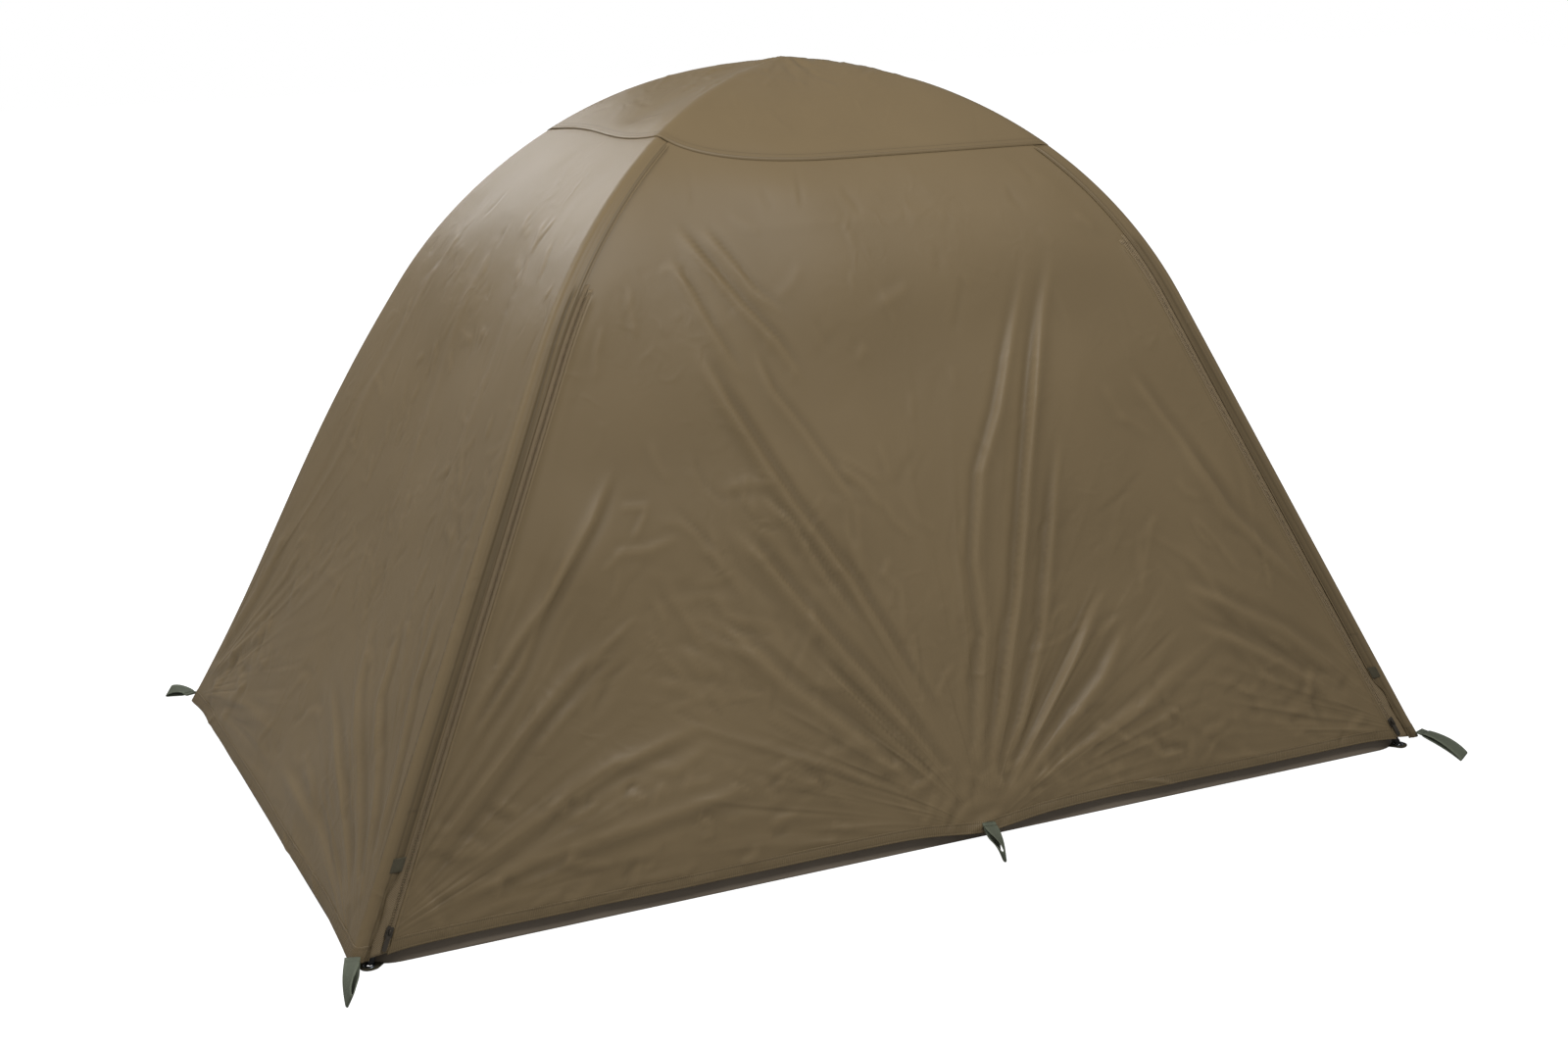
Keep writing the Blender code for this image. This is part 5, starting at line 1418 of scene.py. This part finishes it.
def beads(name, lines, finish, values):
    """One mesh of beads along lines, each given as its places and the ways out."""
    places, ways, edges = [], [], []
    for line, out in lines:
        first = len(places)
        places += line.tolist()
        ways += out.tolist()
        edges += [(first + step, first + step + 1) for step in range(len(line) - 1)]
    mesh = bpy.data.meshes.new(f"{name}_lines")
    mesh.from_pydata(places, edges, [])
    layer = mesh.attributes.new("off_cloth", "FLOAT_VECTOR", "POINT")
    layer.data.foreach_set("vector", np.array(ways, np.float32).ravel())
    drawn = shown(bpy.data.objects.new(f"{name}_lines", mesh))
    modifier = drawn.modifiers.new("beads", "NODES")
    modifier.node_group = BEADS
    for item in BEADS.interface.items_tree:
        if item.name in values:
            modifier[item.identifier] = values[item.name]
        if item.name == "Finish":
            modifier[item.identifier] = finish
    graph = bpy.context.evaluated_depsgraph_get()
    mesh = bpy.data.meshes.new_from_object(drawn.evaluated_get(graph))
    bpy.data.objects.remove(drawn, do_unlink=True)
    mesh.name = name
    mesh.polygons.foreach_set("use_smooth", [True] * len(mesh.polygons))
    made = shown(bpy.data.objects.new(name, mesh))
    return made


def beside_ridge(edge, inset, rise, lift):
    """A line on the front at an inset from a ridge."""
    return line_on_side(FRONT, edge * (half_width(FRONT, rise) - inset), rise, lift)


def tape(name, edge, near, far, high, door):
    """A woven tape between two insets, ridge side first. Its sewn edge lies deeper, under
    the strip or the door, and the fly's one widens where the strip draws back."""
    rise = np.linspace(TAPE_FOOT, high, TAPE_ROWS)[:, None] + np.zeros((1, TAPE_COLUMNS))
    if not door:
        near = near - 0.011 * eased((STORM_TAB_RISE - rise) / 0.03)
    share = np.linspace(0, 1, TAPE_COLUMNS)[None, :]
    inset = near + (far - near) * share
    lift = TAPE_STAND * (0.6 + 0.6 * np.sin(pi * share)) + 0.0002 * np.sin(rise * 300)
    lift = lift - TAPE_TUCK * (share if door else 1 - share) ** 2
    points, _ = beside_ridge(edge, inset, rise, lift)
    uv = uv_map(rise * 1.15, edge * inset)
    if edge > 0:
        points, uv = points[:, ::-1], uv[:, ::-1]
    return grid_piece(name, points, uv, TAPE, None, "zip_tape", thickness=TAPE_THICKNESS)


def zip_half(side, edge, half):
    """The fly's or the door's half of a zip. The fly's half hangs on the shelter, the door's half
    on no body.
    """
    door = half == "door"
    near, far, above, way, start = ZIP_HALVES[half]
    woven = tape(f"{side}_{half}_tape", edge, near, far, ZIP_TOP_RISE + above, door)
    high = ZIP_TOP_RISE - COIL_DROP
    rise = np.linspace(start, high, int((high - start) / LINE_STEP) + 2)
    line = beside_ridge(edge, ZIP_INSET + way * COIL_OFFSET, rise, COIL_LIFT)
    coil = beads(f"{side}_{half}_coil", [line], COIL,
                 {**TOOTH, "Slant": TOOTH["Slant"] * edge * way})
    for made in (woven, coil):
        if door:
            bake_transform(made)
        else:
            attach(made, "shelter")
    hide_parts(f"{side}_zip_{half}_half")
    return [woven, coil]


zip_fly_halves = {side: zip_half(side, edge, "fly") for side, edge in ZIP_SIDES.items()}
zip_door_halves = {side: zip_half(side, edge, "door") for side, edge in ZIP_SIDES.items()}


# The zip sliders: two waisted plates held apart by a post, with side flanges and a bridge
# for the pull, in dark enamel. Each has a flat pull with a round end.

ENAMEL = metal_finish("zip_enamel", (0.075, 0.064, 0.050), 0.36, 0.7)
LEG_GRADE = 1 / tan(LEG_TILT) / REACH
ZIP_WAY = Vector((WIDTH / 2 * LEG_GRADE, DEPTH / 2 * LEG_GRADE, 1)).normalized()
SLIDER_REST_RISE = 0.0209 + (0.018 / 2 + 0.0005) * ZIP_WAY.z
SLIDER_CHANNEL = 0.0030
SLIDER_PLATE = 0.0015
SLIDER_TOP = SLIDER_CHANNEL + SLIDER_PLATE
PULL_AXIS = SLIDER_TOP + FIT + 0.0007
PULL_HALF = 0.0007
PULL_SOFT = 0.0003
WAIST_HALF = ((0.0060, -0.0084), (0.0060, -0.0030), (0.0057, 0.0010), (0.0059, 0.0060),
              (0.0052, 0.0086), (0.0044, 0.0090))
BRIDGE_HALF = ((0.0022, 0.0038), (0.0036, 0.0030), (0.0042, 0.0016), (0.0042, -0.0004))
HOLLOW_HALF = ((0.0012, 0.0025), (0.0018, 0.0022), (0.0021, 0.0012), (0.0022, -0.0004))


def zip_axes(edge, rise):
    """Axes on the zip: X across it away from the ridge, Y up along it, Z off the cloth."""
    point, _ = flat_side(FRONT, edge * (float(half_width(FRONT, rise)) - ZIP_INSET), rise)
    up = Vector((-edge * ZIP_WAY.x, ZIP_WAY.y, ZIP_WAY.z))
    outward = Vector((0, -1, DEPTH / 2 * LEG_GRADE)).normalized()
    columns = Matrix((up.cross(outward), up, outward)).transposed().to_4x4()
    return Matrix.Translation(point.tolist()) @ columns


def add_plate(shape, outline, low, high, soft=0.0003):
    """A solid plate with softened edges, added to a bmesh."""
    middle = np.mean(outline, axis=0)
    rings = []
    for height, inset in ((low, soft), (low + soft, 0), (high - soft, 0), (high, soft)):
        ring = []
        for place in outline:
            away = np.array(place) - middle
            x, y = middle + away * (1 - inset / hypot(*away))
            ring.append(shape.verts.new((x, y, height)))
        rings.append(ring)
    bridge_rings(shape, rings)
    shape.faces.new(rings[0][::-1])
    shape.faces.new(rings[-1])


def mirrored(half):
    """An outline from its half: the mirrored places first, from the far end."""
    return [(-x, y) for x, y in reversed(half)] + list(half)


def zip_slider(side, edge):
    shape = bmesh.new()
    waist = [(-0.0060, -0.0084), (-0.0054, -0.0090), (0.0054, -0.0090), *WAIST_HALF,
             *[(-x, y) for x, y in reversed(WAIST_HALF[1:])]]
    add_plate(shape, waist, -SLIDER_PLATE, 0)
    add_plate(shape, waist, SLIDER_CHANNEL, SLIDER_TOP)
    for way in (-1, 1):
        flange = [(way * x, y) for x, y in ((0.0050, -0.0086), (0.0059, -0.0086),
                                            (0.0059, -0.0004), (0.0050, -0.0004))]
        add_plate(shape, flange, 0.0014, SLIDER_CHANNEL + 0.0003, 0.0001)
    post = [(-0.0006, 0.0034), (0.0, 0.0030), (0.0006, 0.0034), (0.0007, 0.0086),
            (-0.0007, 0.0086)]
    add_plate(shape, post, -0.0003, SLIDER_CHANNEL + 0.0003, 0.0001)
    arch, hollow = mirrored(BRIDGE_HALF), mirrored(HOLLOW_HALF)
    rows = []
    for x, grow in ((-0.0015, 0.88), (-0.0011, 1.0), (0.0011, 1.0), (0.0015, 0.88)):
        outer = [(x, y * grow, SLIDER_TOP + z * grow) for y, z in arch]
        inner = [(x, y / grow, SLIDER_TOP + z / grow) for y, z in reversed(hollow)]
        rows.append([shape.verts.new(place) for place in outer + inner])
    bridge_rings(shape, rows)
    count = len(arch)
    for row in (rows[0], rows[-1]):
        for step in range(count - 1):
            shape.faces.new((row[step], row[step + 1], row[2 * count - 2 - step],
                             row[2 * count - 1 - step]))
    solid_piece(f"{side}_slider_casting", shape, zip_axes(edge, SLIDER_REST_RISE), ENAMEL,
                f"{side}_slider", "zip_metal", f"{side}_zip_slider")


def zip_pull(side, edge):
    """A flat pull, as rings round its window from the bar at the top to its round end."""
    shape = bmesh.new()
    turn = np.linspace(pi, 2 * pi, 13)
    outer = [(0.0040, 0.0007), (-0.0040, 0.0007), (-0.0040, -0.010)]
    outer += [(0.0040 * cos(a), -0.0280 + 0.0040 * sin(a)) for a in turn] + [(0.0040, -0.010)]
    window = [(0.0021, -0.0008), (-0.0021, -0.0008), (-0.0022, -0.0040)]
    window += [(0.0022 * cos(a), -0.0045 + 0.0022 * sin(a)) for a in turn] + [(0.0022, -0.0040)]
    outer, window = np.array(outer), np.array(window)
    inside = PULL_HALF - PULL_SOFT
    rings = []
    for share, high in ((0.0, -inside), (0.06, -PULL_HALF), (0.94, -PULL_HALF), (1.0, -inside),
                        (1.0, inside), (0.94, PULL_HALF), (0.06, PULL_HALF), (0.0, inside)):
        flat = outer + (window - outer) * share
        rings.append([shape.verts.new((x, y, high)) for x, y in flat])
    bridge_rings(shape, rings + rings[:1])
    matrix = zip_axes(edge, SLIDER_REST_RISE) @ Matrix.Translation((0, 0, PULL_AXIS))
    solid_piece(f"{side}_pull_plate", shape, matrix, ENAMEL, f"{side}_pull", "zip_metal",
                f"{side}_zip_pull")


for side, edge in ZIP_SIDES.items():
    zip_slider(side, edge)
    zip_pull(side, edge)


# The storm tabs: a short piece of dark webbing sewn across each strip's edge with a boxed
# cross, which takes the strain off the strip where its loose foot starts.

STORM_TAB_MIDDLE = 0.02765
STORM_TAB_HALF = 0.01015
STORM_TAB_LENGTH = 0.024
STORM_TAB_LIFT = 0.0012
STORM_TAB_RINGS = (
    # height off the strip, size and size on its flat map
    (0, 0.97, 0.97), (0.0002, 1.0, 0.97), (0.0010, 1.0, 0.97), (0.0012, 0.97, 0.97),
    (0.0014, 0.6, 0.582), (0.0015, 0.25, 0.2425))


def storm_place(edge, across, up, lift):
    """Places on a storm tab, for shares across and up it from -1 to 1."""
    inset = STORM_TAB_MIDDLE + across * STORM_TAB_HALF
    rise = STORM_TAB_RISE + up * STORM_TAB_LENGTH / 2 * ZIP_WAY.z
    flat = strip_form(FRONT, edge, inset, rise)[0]
    smooth = 0.0022 + 0.0016 * eased((inset - 0.020) / 0.016)
    return line_on_strip(FRONT, edge, inset, rise, smooth - flat + lift)


def storm_tab(side, edge):
    steps = np.linspace(-1, 1, 9)
    path = np.array([(x, -1) for x in steps[:-1]] + [(1, y) for y in steps[:-1]]
                    + [(x, 1) for x in steps[:0:-1]] + [(-1, y) for y in steps[:0:-1]])
    points = np.array([storm_place(edge, *(path * size).T, lift)[0]
                       for lift, size, _ in STORM_TAB_RINGS])
    uv = np.array([path[:, ::-1] * 0.011 * size for _, _, size in STORM_TAB_RINGS])
    made = grid_piece(f"{side}_storm_tab", points, uv, TAB_WEBBING, "shelter", "webbing",
                      f"{side}_zip_tab", thickness=0, closed=True, caps=True)
    face_out(made)
    return made


storm_tabs = {side: storm_tab(side, edge) for side, edge in ZIP_SIDES.items()}


# The stitching, in a darker thread: double rows along the hems, the roof seam and the
# strips, one row along the door's edges, and the boxed crosses and bars at the tabs.

LIFTED = 0.0001                 # of a stitch's middle off the cloth
BAR_LIFT = 0.0003               # of a bar's or a cross's
STRIP_EDGE_ROW = 0.0325         # inset of the row beside the zip
CATCH_BAR_RISES = (0.204, 0.2055, 0.207)
ZIP_BAR_DROPS = (0.001, 0.0025, 0.004)
DOOR_ROW = 0.0065               # from the door's edge
LOOP_GAP = 0.014                # the hem's rows stop beside the front loop
LOOP_BAR_HALF = 0.015
LOOP_BAR_RISES = (0.0064, 0.0078, 0.0092)
STORM_BOX = 0.82                # share of the storm tab inside its stitched box
HEM_STEPS = 260


def strip_rows():
    lines = []
    for edge in (-1, 1):
        for inset in STRIP_ROWS:
            for face, low in ((FRONT, ZIP_TOP_RISE - 0.004), (BACK, 0.022)):
                rise = np.arange(low, float(seam_rise(face, edge)) - CAP_LAP, LINE_STEP)
                lines.append(line_on_strip(face, edge, inset, rise, LIFTED))
        rise = np.arange(0.150, ZIP_TOP_RISE - 0.002, LINE_STEP)
        lines.append(line_on_strip(FRONT, edge, STRIP_EDGE_ROW, rise, LIFTED))
        for rise in CATCH_BAR_RISES:
            inset = np.linspace(0.018, 0.0365, 14)
            lines.append(line_on_strip(FRONT, edge, inset, rise, BAR_LIFT))
        for drop in ZIP_BAR_DROPS:
            inset = np.linspace(0.0405, 0.060, 12)
            lines.append(beside_ridge(edge, inset, np.full(12, ZIP_TOP_RISE - drop), 0.0030))
    return lines


def roof_rows():
    lines = []
    steps = np.linspace(-1, 1, 300)
    for share in CAP_SEAMS:
        across, up = steps * share, np.full(300, -share)
        for turn, (c, s) in enumerate(QUARTER_TURNS):
            place = cap_surface(c * across - s * up, s * across + c * up)
            _, out = flat_side(turn, 0 * steps, ROOF_SEAM_RISE)
            lines.append((place + out * LIFTED, out))
    return lines


def hem_rows(turn):
    """Two rows round a side panel's hem, or along a long side's."""
    long = turn in (FRONT, BACK)
    gap, middle = (LOOP_GAP, FRONT_LOOP_SHIFT) if turn == FRONT else (0.0, 0.0)
    lines = []
    for row in HEM_ROWS:
        ends = float(long_edge_inset(turn, np.array(row))) if long else RIDGE_ROUND
        reach = float(half_width(turn, row)) - ends
        rise = np.full(HEM_STEPS, row)
        for low, high in ((-reach, middle - gap), (middle + gap, reach)):
            along = np.linspace(low, high, HEM_STEPS)
            edge_lift = long_edge_lift(turn, reach - np.abs(along), rise) if long else 0
            lift = edge_lift + hem_form(along, rise) + LIFTED
            lines.append(line_on_side(turn, along, rise, lift))
        if not long:
            for face, edge in (((turn - 1) % 4, 1), ((turn + 1) % 4, -1)):
                inset = np.linspace(RIDGE_ROUND, 0.041, 16)
                lift = hem_form(inset, rise[:16]) + LIFTED
                lines.append(line_on_strip(face, edge, inset, rise[:16], lift))
    return lines


def door_edge_rows(low, high):
    rise = np.arange(low, high, LINE_STEP)
    room = np.full(len(rise), DOOR_ROW)
    inset = long_edge_inset(FRONT, rise) + room
    lift = long_edge_lift(FRONT, room, rise) + LIFTED
    return [beside_ridge(edge, inset, rise, lift) for edge in (-1, 1)]


def storm_rows(edge):
    """A boxed cross on a storm tab."""
    corners = [(x * STORM_BOX, y * STORM_BOX) for x, y in ((-1, -1), (1, -1), (1, 1), (-1, 1))]
    pairs = [*zip(corners, corners[1:] + corners[:1]), (corners[0], corners[2]),
             (corners[1], corners[3])]
    return [storm_place(edge, *np.linspace(start, end, 10).T, STORM_TAB_LIFT + BAR_LIFT)
            for start, end in pairs]


def loop_bar(turn, middle):
    """The bar of stitches that holds a peg loop to the middle of a hem."""
    along = np.linspace(middle - LOOP_BAR_HALF, middle + LOOP_BAR_HALF, 24)
    return [line_on_side(turn, along, row, hem_form(along, row) + BAR_LIFT)
            for row in LOOP_BAR_RISES]


def sewn(name, lines, body, slot="fly_cloth", **values):
    made = beads(name, lines, THREAD, {**STITCH, **values})
    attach(made, body)
    return made


strip_stitches = sewn("strip_stitches", strip_rows(), "shelter")
roof_stitches = sewn("roof_seam_stitches", roof_rows(), "shelter")
hem_stitches = {name: sewn(f"{name}_hem_stitches", hem_rows(turn), body)
                for name, (turn, body) in HEM_BODIES.items()}
door_stitches = sewn("door_edge_stitches", door_edge_rows(0.024, FOLD_RISE - 0.026), "door")
header_stitches = sewn("header_edge_stitches",
                       door_edge_rows(FOLD_RISE + 0.026, ZIP_TOP_RISE - 0.01), "shelter")
storm_stitches = {side: sewn(f"{side}_storm_tab_stitches", storm_rows(edge), "shelter", "webbing",
                             Pitch=0.0026, Along=0.0020) for side, edge in ZIP_SIDES.items()}
front_bar = sewn("front_loop_bar_stitches", loop_bar(FRONT, FRONT_LOOP_SHIFT), "door")
back_bar = sewn("back_loop_bar_stitches", loop_bar(BACK, 0.0), "shelter")


# The peg loops: 25 mm webbing folded to a loop and sewn under the hem, one at each corner
# and at mid hem. They are stiff, lie out over the ground and have kept a twist.

LOOP_WIDTH = 0.025
LOOP_LENGTH = 0.105
LOOP_WEB = 0.0015
LOOP_ROOT = 0.014
LOOP_EYE = 0.0040
LOOP_CLEAR = 0.0004
LOOP_RISE = 0.03294
LOOP_HIGH = np.array([0, -0.85, -1, -1, -1, -0.85, 0, 0.85, 1, 1, 1, 0.85])
LOOP_SPREAD = np.array([-1, -0.975, -0.5, 0, 0.5, 0.975, 1, 0.975, 0.5, 0, -0.5, -0.975])
LOOPS = {
    # name: root, heading, twist at the tip, curl down at the tip
    "front_left": ((-1.07131, -0.63776), 252, 66, 0.10),
    "front": ((0.092, -0.63745), -104, -74, 0.00),
    "front_right": ((1.07131, -0.63776), -70, 26, 0.16),
    "back_right": ((1.07131, 0.63776), 72, 38, 0.0),
    "back": ((0.0, 0.63745), 90, 30, 0.0),
    "back_left": ((-1.07131, 0.63776), 108, -48, 0.1),
}


def loop_strip(twist, curl):
    """A folded web in its own axes: X out from the root, Z across its width."""
    turn = np.linspace(0, pi, 46)
    out = LOOP_ROOT + (LOOP_LENGTH - LOOP_ROOT - LOOP_WEB) * (1 - np.cos(turn)) / 2
    off = LOOP_EYE * np.sin(turn) ** 0.8 + LOOP_WEB / 2 * np.cos(turn / 2) ** 0.3
    off[-1] = 0
    upper = np.column_stack([np.concatenate([[0, 0.005, 0.010], out]),
                             np.concatenate([[LOOP_WEB * 0.53] * 3, off])])
    line = np.concatenate([upper, upper[::-1][1:] * np.array([1, -1])])
    steps = np.gradient(line, axis=0)
    steps /= np.hypot(*steps.T)[:, None]
    width = LOOP_SPREAD * LOOP_WIDTH / 2
    x = line[:, 0:1] - steps[:, 1:2] * LOOP_HIGH * LOOP_WEB / 2
    y = line[:, 1:2] + steps[:, 0:1] * LOOP_HIGH * LOOP_WEB / 2
    z = np.broadcast_to(width, x.shape)
    way = np.clip(x / LOOP_LENGTH, 0, 1)
    angle = radians(twist) * eased((way - 0.08) / 0.92)
    y, z = y * np.cos(angle) - z * np.sin(angle), y * np.sin(angle) + z * np.cos(angle)
    bend = curl * way ** 2
    x, y = x * np.cos(bend), y - np.sin(2 * bend) * x / 2
    return np.stack([x, y, z], -1), uv_map(lengths_passed(line)[:, None], width[None, :])


def peg_loop(name, root, heading, twist, curl):
    """A loop whose tip is let down until it nearly touches the ground."""
    points, uv = loop_strip(twist, curl)
    base = Matrix.Translation((*root, LOOP_RISE)) @ Matrix.Rotation(radians(heading), 4, "Z")
    steep, level = pi / 3, -pi / 3
    for _ in range(40):
        pitch = (steep + level) / 2
        matrix = np.array(base @ Matrix.Rotation(pitch, 4, "Y") @ Matrix.Rotation(pi / 2, 4, "X"))
        placed = points @ matrix[:3, :3].T + matrix[:3, 3]
        if placed[..., 2].min() > LOOP_CLEAR:
            level = pitch
        else:
            steep = pitch
    # Painted highlight: the web's long edges are made lighter.
    edge = np.abs(uv[..., 1]) > LOOP_WIDTH / 2 * 0.9
    made = grid_piece(f"{name}_peg_loop_webbing", placed, uv, WEBBING, f"{name}_peg_loop_web",
                      "webbing", f"{name}_peg_loop", thickness=0, closed=True, caps=True,
                      tone=np.where(edge, 1.35, 1.0))
    face_out(made)


for name, values in LOOPS.items():
    peg_loop(name, *values)
